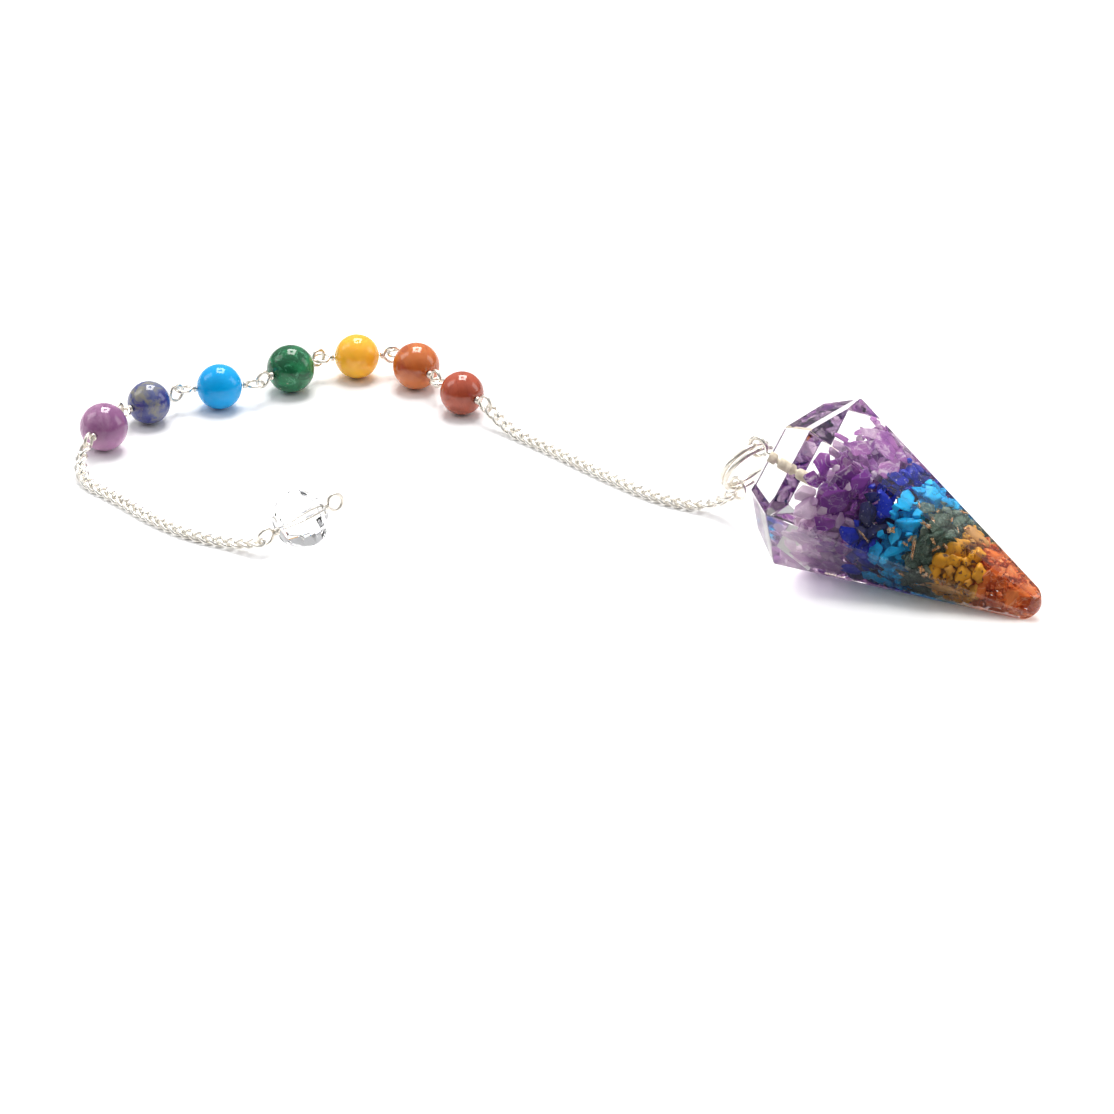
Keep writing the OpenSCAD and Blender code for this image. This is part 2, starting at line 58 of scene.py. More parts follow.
def tidied(mesh):  # merged, smooth and facing outward
    work = bmesh.new()
    work.from_mesh(mesh)
    bmesh.ops.remove_doubles(work, verts=work.verts, dist=1e-7)
    bmesh.ops.recalc_face_normals(work, faces=work.faces)
    for face in work.faces:
        face.smooth = True
    work.to_mesh(mesh)
    work.free()
    return mesh


def addPiece(name, mesh, material, node):  # a finished piece that stands for one CAD node
    mesh.name = name
    mesh.materials.clear()
    mesh.materials.append(material)
    piece = bpy.data.objects.new(name, mesh)
    scene.collection.objects.link(piece)
    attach(piece, "root")
    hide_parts(node)
    return piece


def ringedMesh(name, rings, closed=False):  # rings of points, with the same count in each
    count, points, faces = len(rings[0]), [p for ring in rings for p in ring], []
    for i in range(len(rings) - (0 if closed else 1)):
        j = (i + 1) % len(rings)
        for k in range(count):
            m = (k + 1) % count
            faces.append((i * count + k, j * count + k, j * count + m, i * count + m))
    if not closed:
        for start, order in ((0, 1), ((len(rings) - 1) * count, -1)):
            points.append(sum((Vector(points[start + k]) for k in range(count)), Vector()) / count)
            faces += [(start + k, start + (k + 1) % count, len(points) - 1)[::order] for k in range(count)]
    return tidied(meshFrom(name, points, faces))


def addNode(tree, kind, inputs=None, **settings):
    node = tree.nodes.new(kind)
    for key, value in settings.items():
        setattr(node, key, value)
    for key, value in (inputs or {}).items():
        if isinstance(value, bpy.types.NodeSocket):
            tree.links.new(value, node.inputs[key])
        else:
            node.inputs[key].default_value = value
    return node


def blend(tree, factor, a, b):
    return addNode(tree, "ShaderNodeMix", {0: factor, 6: a, 7: b}, data_type="RGBA").outputs[2]


def maths(tree, operation, *values):
    return addNode(tree, "ShaderNodeMath", dict(enumerate(values)), operation=operation).outputs[0]


def ramped(tree, value, low, high, start=0.0, end=1.0):
    return addNode(tree, "ShaderNodeMapRange", {0: value, 1: low, 2: high, 3: start, 4: end}, clamp=True).outputs[0]


def noise(tree, vector, scale, detail=4.0, rough=0.5, warp=0.0):
    return addNode(tree, "ShaderNodeTexNoise",
                   {"Vector": vector, "Scale": scale, "Detail": detail, "Roughness": rough,
                    "Distortion": warp}).outputs[0]


def newGroup(name, kind, inputs, outputs):
    tree = bpy.data.node_groups.new(name, kind)
    for socketName, socketType, value in inputs:
        socket = tree.interface.new_socket(socketName, in_out="INPUT", socket_type=socketType)
        if value is not None:
            socket.default_value = value
    for socketName, socketType in outputs:
        tree.interface.new_socket(socketName, in_out="OUTPUT", socket_type=socketType)
    return tree, tree.nodes.new("NodeGroupInput").outputs, tree.nodes.new("NodeGroupOutput").inputs


def placeGroup(tree, group, inputs):
    return addNode(tree, "ShaderNodeGroup", inputs, node_tree=group).outputs


mottleFacts = {"fineScale": 2.7, "darkEdge": (0.12, 0.06), "lightEdge": (1.0, 1.15), "heightShares": (0.6, 0.4)}
wearFacts = {"smudgeScale": 0.35, "markScale": 4.0, "smudgeEdge": (0.35, 0.7)}


def buildMottle():  # cloudy two-step colouring of a stone
    tree, given, out = newGroup("stoneMottle", "ShaderNodeTree", [
        ("Vector", "NodeSocketVector", None), ("Scale", "NodeSocketFloat", 500.0), ("Warp", "NodeSocketFloat", 0.6),
        ("Dark", "NodeSocketColor", None), ("Body", "NodeSocketColor", None), ("Light", "NodeSocketColor", None),
        ("Dark Share", "NodeSocketFloat", 0.4), ("Light Share", "NodeSocketFloat", 0.35)],
        [("Color", "NodeSocketColor"), ("Height", "NodeSocketFloat")])
    (above, below), (start, full) = mottleFacts["darkEdge"], mottleFacts["lightEdge"]
    most, rest = mottleFacts["heightShares"]
    fineScale = maths(tree, "MULTIPLY", given["Scale"], mottleFacts["fineScale"])
    broad = noise(tree, given["Vector"], given["Scale"], detail=5.0, rough=0.6, warp=given["Warp"])
    fine = noise(tree, given["Vector"], fineScale, detail=4.0, rough=0.65, warp=given["Warp"])
    darkMask = ramped(tree, broad, maths(tree, "ADD", given["Dark Share"], above),
                      maths(tree, "SUBTRACT", given["Dark Share"], below))
    lightMask = ramped(tree, fine, maths(tree, "SUBTRACT", start, given["Light Share"]),
                       maths(tree, "SUBTRACT", full, given["Light Share"]))
    body = blend(tree, darkMask, given["Body"], given["Dark"])
    tree.links.new(blend(tree, lightMask, body, given["Light"]), out["Color"])
    tree.links.new(maths(tree, "ADD", maths(tree, "MULTIPLY", broad, most), maths(tree, "MULTIPLY", fine, rest)),
                   out["Height"])
    return tree


def buildVeins():  # thin wandering lines, as a mask
    tree, given, out = newGroup("hairVeins", "ShaderNodeTree",
                                [("Vector", "NodeSocketVector", None), ("Scale", "NodeSocketFloat", 300.0),
                                 ("Width", "NodeSocketFloat", 0.03)], [("Mask", "NodeSocketFloat")])
    wander = noise(tree, given["Vector"], given["Scale"], detail=3.0, rough=0.55, warp=0.8)
    away = maths(tree, "ABSOLUTE", maths(tree, "SUBTRACT", wander, 0.5))  # a vein runs where the noise is half
    tree.links.new(ramped(tree, away, 0.0, given["Width"], 1.0, 0.0), out["Mask"])
    return tree


def buildWear():  # polishing marks, smudges and small pits
    tree, given, out = newGroup("handlingWear", "ShaderNodeTree", [
        ("Vector", "NodeSocketVector", None), ("Scale", "NodeSocketFloat", 900.0), ("Smooth", "NodeSocketFloat", 0.1),
        ("Rough", "NodeSocketFloat", 0.3)],
        [("Roughness", "NodeSocketFloat"), ("Height", "NodeSocketFloat"), ("Smudge", "NodeSocketFloat")])
    smudgeScale = maths(tree, "MULTIPLY", given["Scale"], wearFacts["smudgeScale"])
    markScale = maths(tree, "MULTIPLY", given["Scale"], wearFacts["markScale"])
    smudge = noise(tree, given["Vector"], smudgeScale, detail=4.0, rough=0.6, warp=0.4)
    marks = noise(tree, given["Vector"], markScale, detail=3.0, rough=0.7, warp=1.5)
    share = ramped(tree, smudge, *wearFacts["smudgeEdge"])
    spread = maths(tree, "SUBTRACT", given["Rough"], given["Smooth"])
    tree.links.new(maths(tree, "ADD", given["Smooth"], maths(tree, "MULTIPLY", spread, share)), out["Roughness"])
    tree.links.new(maths(tree, "ADD", maths(tree, "MULTIPLY", smudge, 0.5), maths(tree, "MULTIPLY", marks, 0.5)),
                   out["Height"])
    tree.links.new(share, out["Smudge"])
    return tree


mottleGroup, veinGroup, wearGroup = buildMottle(), buildVeins(), buildWear()


def startMaterial(name):
    material = bpy.data.materials.new(name)
    material.use_nodes = True
    tree = material.node_tree
    tree.nodes.clear()
    place = tree.nodes.new("ShaderNodeTexCoord").outputs["Object"]
    shader = tree.nodes.new("ShaderNodeBsdfPrincipled")
    output = tree.nodes.new("ShaderNodeOutputMaterial")
    tree.links.new(shader.outputs[0], output.inputs["Surface"])
    return material, tree, place, shader, output


def setShader(shader, **values):
    for key, value in values.items():
        shader.inputs[key.replace("_", " ")].default_value = value


def addBump(tree, shader, height, distance):
    bump = addNode(tree, "ShaderNodeBump", {"Height": height, "Distance": distance, "Strength": 1.0})
    tree.links.new(bump.outputs[0], shader.inputs["Normal"])


def layWear(tree, shader, vector, look):  # worn roughness and fine relief
    wear = placeGroup(tree, wearGroup, {"Vector": vector, "Scale": look["wearScale"], "Smooth": look["smooth"],
                                        "Rough": look["rough"]})
    tree.links.new(wear["Roughness"], shader.inputs["Roughness"])
    addBump(tree, shader, wear["Height"], look["relief"])
    return wear


def letLampsThrough(tree, shader, output, tint, share):  # soft light passes a clear body, so what is inside is lit
    lampPath = tree.nodes.new("ShaderNodeLightPath").outputs["Is Shadow Ray"]
    clear = addNode(tree, "ShaderNodeBsdfTransparent", {"Color": tint})
    mix = addNode(tree, "ShaderNodeMixShader",
                  {0: maths(tree, "MULTIPLY", lampPath, share), 1: shader.outputs[0], 2: clear.outputs[0]})
    tree.links.new(mix.outputs[0], output.inputs["Surface"])


# How a stone's colour is laid on, with painted light and shade: tones are shares of the chip's own tone, heights are
# in metres above the floor and place a bead's painted glow below and its painted shade band above it
toneAndPaintedLight = {"paleBelow": 0.35, "deepAbove": 0.6, "toneShare": 0.85, "speckEdge": 0.04, "paintedLightWobble": 0.0016,
          "underHeights": (0.0015, 0.0042), "paintedShadeRise": (0.0032, 0.0044), "paintedShadeFall": (0.0046, 0.0062)}
# A plain stone, where its own look says nothing else
plainStone = {"turn": (0, 0, 0), "stretch": (1, 1, 1), "warp": 0.8, "darkShare": 0.4, "lightShare": 0.35,
              "veinWidth": 0.02, "veinScale": 400.0, "veinShare": 0.7, "wearScale": 900.0, "smooth": 0.06,
              "rough": 0.16, "relief": 0.00001, "ior": 1.55, "shine": 0.5, "clear": 0.0, "glow": 0.0,
              "glowRadius": (1.0, 0.5, 0.3), "glowScale": 0.0015}


def stoneMaterial(name, look):  # one stone colouring for beads, chips and glue, from its own dictionary, with painted glow and shade where the look asks for them
    look = {**plainStone, **look}
    material, tree, place, shader, output = startMaterial(name)
    turned = addNode(tree, "ShaderNodeMapping",
                     {"Vector": place, "Rotation": look["turn"], "Scale": look["stretch"]}).outputs[0]
    mottle = placeGroup(tree, mottleGroup,
                        {"Vector": turned, "Scale": look["scale"], "Warp": look["warp"], "Dark": look["dark"],
                         "Body": look["body"], "Light": look["light"], "Dark Share": look["darkShare"],
                         "Light Share": look["lightShare"]})
    colour = mottle["Color"]
    if "tones" in look:  # each chip has its own tone, kept as an attribute, which for amethyst by the low front wall carries painted light
        tone = addNode(tree, "ShaderNodeAttribute", attribute_name="tone").outputs["Fac"]
        pale, deep = look["tones"]
        colour = blend(tree, ramped(tree, tone, 0.0, toneAndPaintedLight["paleBelow"], toneAndPaintedLight["toneShare"], 0.0), colour, pale)
        colour = blend(tree, ramped(tree, tone, toneAndPaintedLight["deepAbove"], 1.0, 0.0, toneAndPaintedLight["toneShare"]), colour, deep)
    if "vein" in look:
        veins = placeGroup(tree, veinGroup, {"Vector": turned, "Scale": look["veinScale"],
                                             "Width": look["veinWidth"]})["Mask"]
        colour = blend(tree, maths(tree, "MULTIPLY", veins, look["veinShare"]), colour, look["vein"])
    if "speck" in look:
        grains = noise(tree, turned, look["speckScale"], 2.0, 0.5)
        specks = ramped(tree, grains, look["speckAt"], look["speckAt"] + toneAndPaintedLight["speckEdge"])
        colour = blend(tree, specks, colour, look["speck"])
    if "under" in look:  # painted light: lighter below, where the floor shines through, with a painted shade band above it
        above = addNode(tree, "ShaderNodeSeparateXYZ", {0: place}).outputs[2]
        height = maths(tree, "ADD", above, maths(tree, "MULTIPLY", mottle["Height"], toneAndPaintedLight["paintedLightWobble"]))
        # painted light: the lower part of the bead is made lighter
        paintedGlowMask = ramped(tree, height, *toneAndPaintedLight["underHeights"], look["underShare"], 0.0)
        colour = blend(tree, paintedGlowMask, colour, look["under"])
        # painted shade: a darker band across the bead above the painted light
        band = maths(tree, "MULTIPLY", ramped(tree, height, *toneAndPaintedLight["paintedShadeRise"]),
                     ramped(tree, height, *toneAndPaintedLight["paintedShadeFall"], 1.0, 0.0))
        colour = blend(tree, maths(tree, "MULTIPLY", band, look["paintedShadeShare"]), colour, look["dark"])
    tree.links.new(colour, shader.inputs["Base Color"])
    layWear(tree, shader, turned, look)
    setShader(shader, IOR=look["ior"], Specular_IOR_Level=look["shine"], Transmission_Weight=look["clear"],
              Subsurface_Weight=look["glow"], Subsurface_Radius=look["glowRadius"],
              Subsurface_Scale=look["glowScale"])
    if "lamps" in look:
        letLampsThrough(tree, shader, output, look["lamps"], look["lampShare"])
    return material


def silverMaterial(name, look):
    material, tree, place, shader, _ = startMaterial(name)
    smudge = maths(tree, "MULTIPLY", layWear(tree, shader, place, look)["Smudge"], look["tarnishShare"])
    tree.links.new(blend(tree, smudge, look["metal"], look["tarnish"]), shader.inputs["Base Color"])
    setShader(shader, Metallic=1.0)
    return material


def clearMaterial(name, look):
    material, tree, place, shader, output = startMaterial(name)
    smudge = maths(tree, "MULTIPLY", layWear(tree, shader, place, look)["Smudge"], look["hazeShare"])
    tree.links.new(blend(tree, smudge, look["body"], look["haze"]), shader.inputs["Base Color"])
    setShader(shader, Transmission_Weight=1.0, IOR=look["ior"])
    letLampsThrough(tree, shader, output, look["lamps"], look["lampShare"])
    return material


silverLook = {"wearScale": 1400.0, "smooth": 0.2, "rough": 0.4, "tarnishShare": 0.5, "metal": (0.87, 0.83, 0.75, 1),
              "tarnish": (0.48, 0.4, 0.31, 1), "relief": 0.000008}
silver = silverMaterial("polishedSilver", silverLook)
chainSilver = silverMaterial("chainSilver",
                             {**silverLook, "metal": (0.98, 0.955, 0.89, 1), "rough": 0.34, "tarnishShare": 0.38})
copper = silverMaterial("copperLeaf",
                        {"wearScale": 2600.0, "smooth": 0.08, "rough": 0.3, "tarnishShare": 0.6,
                         "metal": (1.0, 0.82, 0.6, 1), "tarnish": (0.7, 0.36, 0.18, 1), "relief": 0.00005})
resinGlass = clearMaterial("clearResin",
                           {"wearScale": 260.0, "smooth": 0.006, "rough": 0.03, "hazeShare": 0.35,
                            "body": (0.96, 0.955, 0.93, 1), "haze": (0.92, 0.91, 0.88, 1), "relief": 0.000003,
                            "ior": 1.5, "lamps": (0.98, 0.98, 0.96, 1), "lampShare": 1.0})
crystalGlass = clearMaterial("cutCrystal",
                             {"wearScale": 500.0, "smooth": 0.003, "rough": 0.02, "hazeShare": 0.1,
                              "body": (1, 1, 1, 1), "haze": (0.96, 0.97, 0.99, 1), "relief": 0.000001,
                              "ior": 1.46, "lamps": (0.95, 0.96, 0.97, 1), "lampShare": 0.9})

studio = {"look": (0.98, -19.62, 0.0), "elevation": 25.8, "distance": 1000.0, "lens": 253.7, "worldLight": 0.8,
          "boxLight": 12.0, "sideLight": 2.4, "frontShade": 0.8, "horizon": (0.3, 0.28, 0.27, 1),
          "sky": (0.98, 1.0, 1.04, 1), "skyRise": (-0.1, 0.75), "frontFade": (-0.9, -0.2), "sensor": 36.0,
          "clip": (0.01, 20.0), "lampColour": (1.0, 0.985, 0.96),
          "topBox": {"toward": (0.03, 0.43, 0.9), "away": 1.15, "wide": 0.56, "high": 0.74, "gap": 0.2},
          "sideBox": {"left": (-0.73, 0.2, 0.62), "right": (0.9, 0.1, 0.42), "away": 1.3, "wide": 0.5, "high": 0.8},
          "floor": {"half": 4, "colour": (0.93, 0.93, 0.935, 1), "shine": 0.2, "smooth": 0.55, "rough": 0.65,
                    "scale": 60.0}}


def setUpStudio():
    elevation = math.radians(studio["elevation"])
    back = Vector((0, -math.cos(elevation), math.sin(elevation)))
    camera = bpy.data.objects.new("photoCamera", bpy.data.cameras.new("photoCamera"))
    camera.data.lens, camera.data.sensor_width = studio["lens"], studio["sensor"]
    camera.data.sensor_fit = "HORIZONTAL"
    camera.data.clip_start, camera.data.clip_end = studio["clip"]
    camera.location = (Vector(studio["look"]) + back * studio["distance"]) * mm
    camera.rotation_euler = (-back).to_track_quat("-Z", "Y").to_euler()
    scene.collection.objects.link(camera)
    scene.camera = camera
    world = bpy.data.worlds.new("paleStudio")
    world.use_nodes = True
    scene.world = world
    tree = world.node_tree
    tree.nodes.clear()
    seen = addNode(tree, "ShaderNodeBackground", {"Color": (1, 1, 1, 1), "Strength": 1.0})
    heading = addNode(tree, "ShaderNodeSeparateXYZ",
                      {0: tree.nodes.new("ShaderNodeTexCoord").outputs["Generated"]}).outputs
    sky = blend(tree, ramped(tree, heading[2], *studio["skyRise"]), studio["horizon"], studio["sky"])
    # the room is darker in front
    front = ramped(tree, heading[1], *studio["frontFade"], studio["frontShade"], 0.0)
    sky = blend(tree, front, sky, (0, 0, 0, 1))
    lit = addNode(tree, "ShaderNodeBackground", {"Color": sky, "Strength": studio["worldLight"]})
    mix = addNode(tree, "ShaderNodeMixShader",
                  {0: tree.nodes.new("ShaderNodeLightPath").outputs["Is Camera Ray"], 1: lit.outputs[0],
                   2: seen.outputs[0]})
    tree.links.new(mix.outputs[0], addNode(tree, "ShaderNodeOutputWorld").inputs["Surface"])

    def softBox(name, direction, distance, wide, high, radiance, aside=(0, 0)):
        lamp = bpy.data.lights.new(name, "AREA")
        lamp.shape, lamp.size, lamp.size_y = "RECTANGLE", wide, high
        lamp.energy = radiance * math.pi * wide * high
        lamp.color = studio["lampColour"]
        box = bpy.data.objects.new(name, lamp)
        turn = (-Vector(direction)).to_track_quat("-Z", "Y")
        box.location = Vector(direction).normalized() * distance + turn @ Vector((aside[0], aside[1], 0))
        box.rotation_euler = turn.to_euler()
        scene.collection.objects.link(box)

    top, side, ground = studio["topBox"], studio["sideBox"], studio["floor"]
    wide, high, gap = top["wide"], top["high"], top["gap"]  # the top box is a ring around its own dark middle
    band, rise = (wide - gap) / 2, (high - gap) / 2
    for name, w, h, aside in (("topFront", wide, rise, (0, -(gap + rise) / 2)),
                              ("topBack", wide, rise, (0, (gap + rise) / 2)),
                              ("topLeft", band, gap, (-(gap + band) / 2, 0)),
                              ("topRight", band, gap, ((gap + band) / 2, 0))):
        softBox(name, top["toward"], top["away"], w, h, studio["boxLight"], aside)
    for name, toward in (("leftBox", side["left"]), ("rightBox", side["right"])):
        softBox(name, toward, side["away"], side["wide"], side["high"], studio["sideLight"])

    floorMesh, half = bpy.data.meshes.new("floor"), ground["half"]
    floorMesh.from_pydata([(-half, -half, 0), (half, -half, 0), (half, half, 0), (-half, half, 0)], [],
                          [(0, 1, 2, 3)])
    floor = bpy.data.objects.new("floor", floorMesh)
    scene.collection.objects.link(floor)
    material, tree, place, shader, _ = startMaterial("paleFloor")
    wear = placeGroup(tree, wearGroup,
                      {"Vector": place, "Scale": ground["scale"], "Smooth": ground["smooth"],
                       "Rough": ground["rough"]})
    tree.links.new(wear["Roughness"], shader.inputs["Roughness"])
    setShader(shader, Base_Color=ground["colour"], Specular_IOR_Level=ground["shine"])
    floorMesh.materials.append(material)


setUpStudio()
scene.view_settings.view_transform = "Standard"
scene.view_settings.look = "None"
print("studio ready")


def geometryTree(name, inputs):
    return newGroup(name, "GeometryNodeTree", [("Geometry", "NodeSocketGeometry", None)] + inputs,
                    [("Geometry", "NodeSocketGeometry")])


def finishTree(tree, geometry, material, out):
    real = addNode(tree, "GeometryNodeRealizeInstances", {"Geometry": geometry}).outputs[0]
    painted = addNode(tree, "GeometryNodeSetMaterial", {"Geometry": real, "Material": material}).outputs[0]
    tree.links.new(painted, out["Geometry"])


def named(tree, name, kind):
    return addNode(tree, "GeometryNodeInputNamedAttribute", {"Name": name}, data_type=kind).outputs[0]


def buildWireTree():  # round wire along a run of points, each with its own radius
    tree, given, out = geometryTree("bentWire",
                                    [("Sides", "NodeSocketInt", 12), ("Material", "NodeSocketMaterial", None)])
    curve = addNode(tree, "GeometryNodeMeshToCurve", {"Mesh": given["Geometry"]}).outputs[0]
    profile = addNode(tree, "GeometryNodeCurvePrimitiveCircle",
                      {"Resolution": given["Sides"], "Radius": 1.0}).outputs[0]
    wire = addNode(tree, "GeometryNodeCurveToMesh",
                   {"Curve": curve, "Profile Curve": profile, "Scale": named(tree, "wireRadius", "FLOAT"),
                    "Fill Caps": True}).outputs[0]
    smooth = addNode(tree, "GeometryNodeSetShadeSmooth", {"Geometry": wire}).outputs[0]
    finishTree(tree, smooth, given["Material"], out)
    return tree


def buildLinkTree():  # one bent link, repeated at the chain's places
    tree, given, out = geometryTree("chainLinks",
                                    [("Link Path", "NodeSocketObject", None),
                                     ("Wire Radius", "NodeSocketFloat", 0.00022), ("Sides", "NodeSocketInt", 10),
                                     ("Material", "NodeSocketMaterial", None)])
    path = addNode(tree, "GeometryNodeObjectInfo", {"Object": given["Link Path"]}).outputs["Geometry"]
    curve = addNode(tree, "GeometryNodeMeshToCurve", {"Mesh": path}).outputs[0]
    profile = addNode(tree, "GeometryNodeCurvePrimitiveCircle",
                      {"Resolution": given["Sides"], "Radius": given["Wire Radius"]}).outputs[0]
    link = addNode(tree, "GeometryNodeCurveToMesh", {"Curve": curve, "Profile Curve": profile}).outputs[0]
    smooth = addNode(tree, "GeometryNodeSetShadeSmooth", {"Geometry": link}).outputs[0]
    turn = addNode(tree, "FunctionNodeEulerToRotation", {0: named(tree, "linkTurn", "FLOAT_VECTOR")}).outputs[0]
    links = addNode(tree, "GeometryNodeInstanceOnPoints",
                    {"Points": given["Geometry"], "Instance": smooth, "Rotation": turn}).outputs[0]
    finishTree(tree, links, given["Material"], out)
    return tree


def buildShardTree():  # broken stones of a few shapes, at given places with their own turn and size
    tree, given, out = geometryTree("brokenStones",
                                    [("Shapes", "NodeSocketCollection", None), ("Seed", "NodeSocketInt", 0),
                                     ("Material", "NodeSocketMaterial", None)])
    shapes = addNode(tree, "GeometryNodeCollectionInfo",
                     {"Collection": given["Shapes"], "Separate Children": True, "Reset Children": True}).outputs[0]
    pick = addNode(tree, "FunctionNodeRandomValue", {4: 0, 5: 99, "Seed": given["Seed"]}, data_type="INT").outputs[2]
    turn = addNode(tree, "FunctionNodeEulerToRotation", {0: named(tree, "stoneTurn", "FLOAT_VECTOR")}).outputs[0]
    stones = addNode(tree, "GeometryNodeInstanceOnPoints",
                     {"Points": given["Geometry"], "Instance": shapes, "Pick Instance": True, "Instance Index": pick,
                      "Rotation": turn, "Scale": named(tree, "stoneSize", "FLOAT_VECTOR")}).outputs[0]
    finishTree(tree, stones, given["Material"], out)
    return tree


wireTree, linkTree, shardTree = buildWireTree(), buildLinkTree(), buildShardTree()


def grownMesh(name, seedMesh, tree, settings):
    seed = bpy.data.objects.new(name + "Seed", seedMesh)
    scene.collection.objects.link(seed)
    modifier = seed.modifiers.new("grow", "NODES")
    modifier.node_group = tree
    for item in tree.interface.items_tree:
        if item.item_type == "SOCKET" and item.in_out == "INPUT" and item.name in settings:
            modifier[item.identifier] = settings[item.name]
    view = bpy.context.evaluated_depsgraph_get()
    view.update()
    mesh = bpy.data.meshes.new_from_object(seed.evaluated_get(view), preserve_all_data_layers=True, depsgraph=view)
    seed.modifiers.clear()
    bpy.data.objects.remove(seed)
    return mesh


def keepValues(mesh, name, kind, values):  # a named attribute, with a number or three numbers for each point
    slot = "vector" if kind == "FLOAT_VECTOR" else "value"
    mesh.attributes.new(name, kind, "POINT").data.foreach_set(slot, values)


def pathMesh(name, runs):  # runs of (points, radius); a radius may also be a list
    points, edges, radii = [], [], []
    for run, radius in runs:
        start = len(points)
        points += run
        radii += radius if isinstance(radius, list) else [radius] * len(run)
        edges += [(start + i, start + i + 1) for i in range(len(run) - 1)]
    mesh = meshFrom(name, points, edges=edges)
    keepValues(mesh, "wireRadius", "FLOAT", [r * mm for r in radii])
    return mesh


def wirePiece(name, runs, node, sides=14):
    mesh = grownMesh(name, pathMesh(name, runs), wireTree, {"Sides": sides, "Material": silver})
    addPiece(name, tidied(mesh), silver, node)


def smoothed(points, steps):  # a rounded run through points
    ends = [points[0] * 2 - points[1]] + list(points) + [points[-1] * 2 - points[-2]]
    run = []
    for a, b, c, d in zip(ends, ends[1:], ends[2:], ends[3:]):
        for i in range(steps):
            t = i / steps
            run.append(0.5 * (2 * b + (c - a) * t + (2 * a - 5 * b + 4 * c - d) * t * t
                              + (3 * b - a - 3 * c + d) * t ** 3))
    return run + [points[-1]]


point = {"girdle": (34.08, -18.29, 10.033), "heading": -35.5, "lie": 14.2, "girdleR": 11.95, "tableR": 8.9625,
         "crown": 4.35, "run": 40.9, "length": 34.5, "edge": 0.22, "cornerSteps": 3, "edgeMost": 0.8,
         "tableEdge": 0.2, "girdleEdge": 0.22, "outlineSteps": 3, "tipSteps": (14.2, 24, 34, 44, 54, 64, 73, 81)}
pointTurn = placedAt(point["girdle"], point["heading"], -point["lie"])
pointLie = math.radians(point["lie"])
wallNormals = [(math.cos(math.radians(30 + 60 * k)), math.sin(math.radians(30 + 60 * k))) for k in range(6)]
facetNormals = [Vector((math.sin(pointLie), math.cos(pointLie) * ny, math.cos(pointLie) * nz))
                for ny, nz in wallNormals]
halfCorner = math.cos(math.radians(30))  # a hexagon's flat-to-middle share of its corner radius


def apothemAt(u):  # from the axis to a flat of the point
    if u < 0:
        return (point["girdleR"] + (point["girdleR"] - point["tableR"]) * u / point["crown"]) * halfCorner
    return (point["run"] - u) * math.tan(pointLie)


def roundedHexagon(u, radius):
    edge = min(point["edge"], radius * point["edgeMost"])
    ring = []
    for k in range(6):
        middle = radius - edge / halfCorner
        for step in range(point["cornerSteps"] + 1):
            a = math.radians(60 * k - 30 + 60 * step / point["cornerSteps"])
            b = math.radians(60 * k)
            ring.append(Vector((u, middle * math.cos(b) + edge * math.cos(a),
                                middle * math.sin(b) + edge * math.sin(a))))
    return ring


def softCorner(before, corner, after, edge):  # rounds one corner of the outline
    before, corner, after = Vector(before), Vector(corner), Vector(after)
    start, end = corner + (before - corner).normalized() * edge, corner + (after - corner).normalized() * edge
    return [tuple(start * (1 - t) ** 2 + corner * 2 * t * (1 - t) + end * t * t)
            for t in (i / point["outlineSteps"] for i in range(point["outlineSteps"] + 1))]


def buildResin():
    tipR = (point["run"] - point["length"]) / (1 / math.sin(pointLie) - 1)
    table, girdle = (-point["crown"], point["tableR"]), (0, point["girdleR"])
    outline = softCorner((-point["crown"], 0), table, girdle, point["tableEdge"])
    outline += softCorner(table, girdle, (point["run"], 0), point["girdleEdge"])
    tipAt = point["run"] - tipR / math.sin(pointLie)
    for turn in map(math.radians, point["tipSteps"]):
        outline.append((tipAt + tipR * math.sin(turn), tipR * math.cos(turn) / halfCorner))
    mesh = ringedMesh("resinPoint", [roundedHexagon(u, r) for u, r in outline])
    mesh.transform(Matrix.Translation(pointTurn.translation * mm) @ pointTurn.to_3x3().to_4x4())
    piece = addPiece("resinPoint", mesh, resinGlass, "resin_body")
    flat = piece.modifiers.new("flatFacets", "WEIGHTED_NORMAL")
    flat.weight, flat.keep_sharp = 90, False


buildResin()
print("resin point made")

# Stones in the resin: zone along the point, how its two ends slant across it, big and small sizes,
# shape as shares of the size
stones = {
    "amethyst": {"zone": (2.0, 9.6), "slant": (0, 0), "sizes": (5.2, 2.0), "shape": (1.0, 0.6, 0.48)},
    "lapis": {"zone": (9.4, 13.2), "slant": (0, 0), "sizes": (4.2, 1.6), "shape": (1.0, 0.72, 0.55)},
    "turquoise": {"zone": (13.0, 17.0), "slant": (0, 0), "sizes": (3.8, 1.4), "shape": (1.0, 0.75, 0.6)},
    "aventurine": {"zone": (16.8, 21.4), "slant": (0, 0), "sizes": (3.6, 1.3), "shape": (1.0, 0.8, 0.65)},
    "citrine": {"zone": (21.0, 25.0), "slant": (0, -0.8), "sizes": (2.8, 1.2), "shape": (1.0, 0.9, 0.85)},
    "carnelian": {"zone": (25.2, 34.0), "slant": (-0.8, 0), "sizes": (3.4, 0.9), "shape": (1.0, 0.8, 0.7)},
}
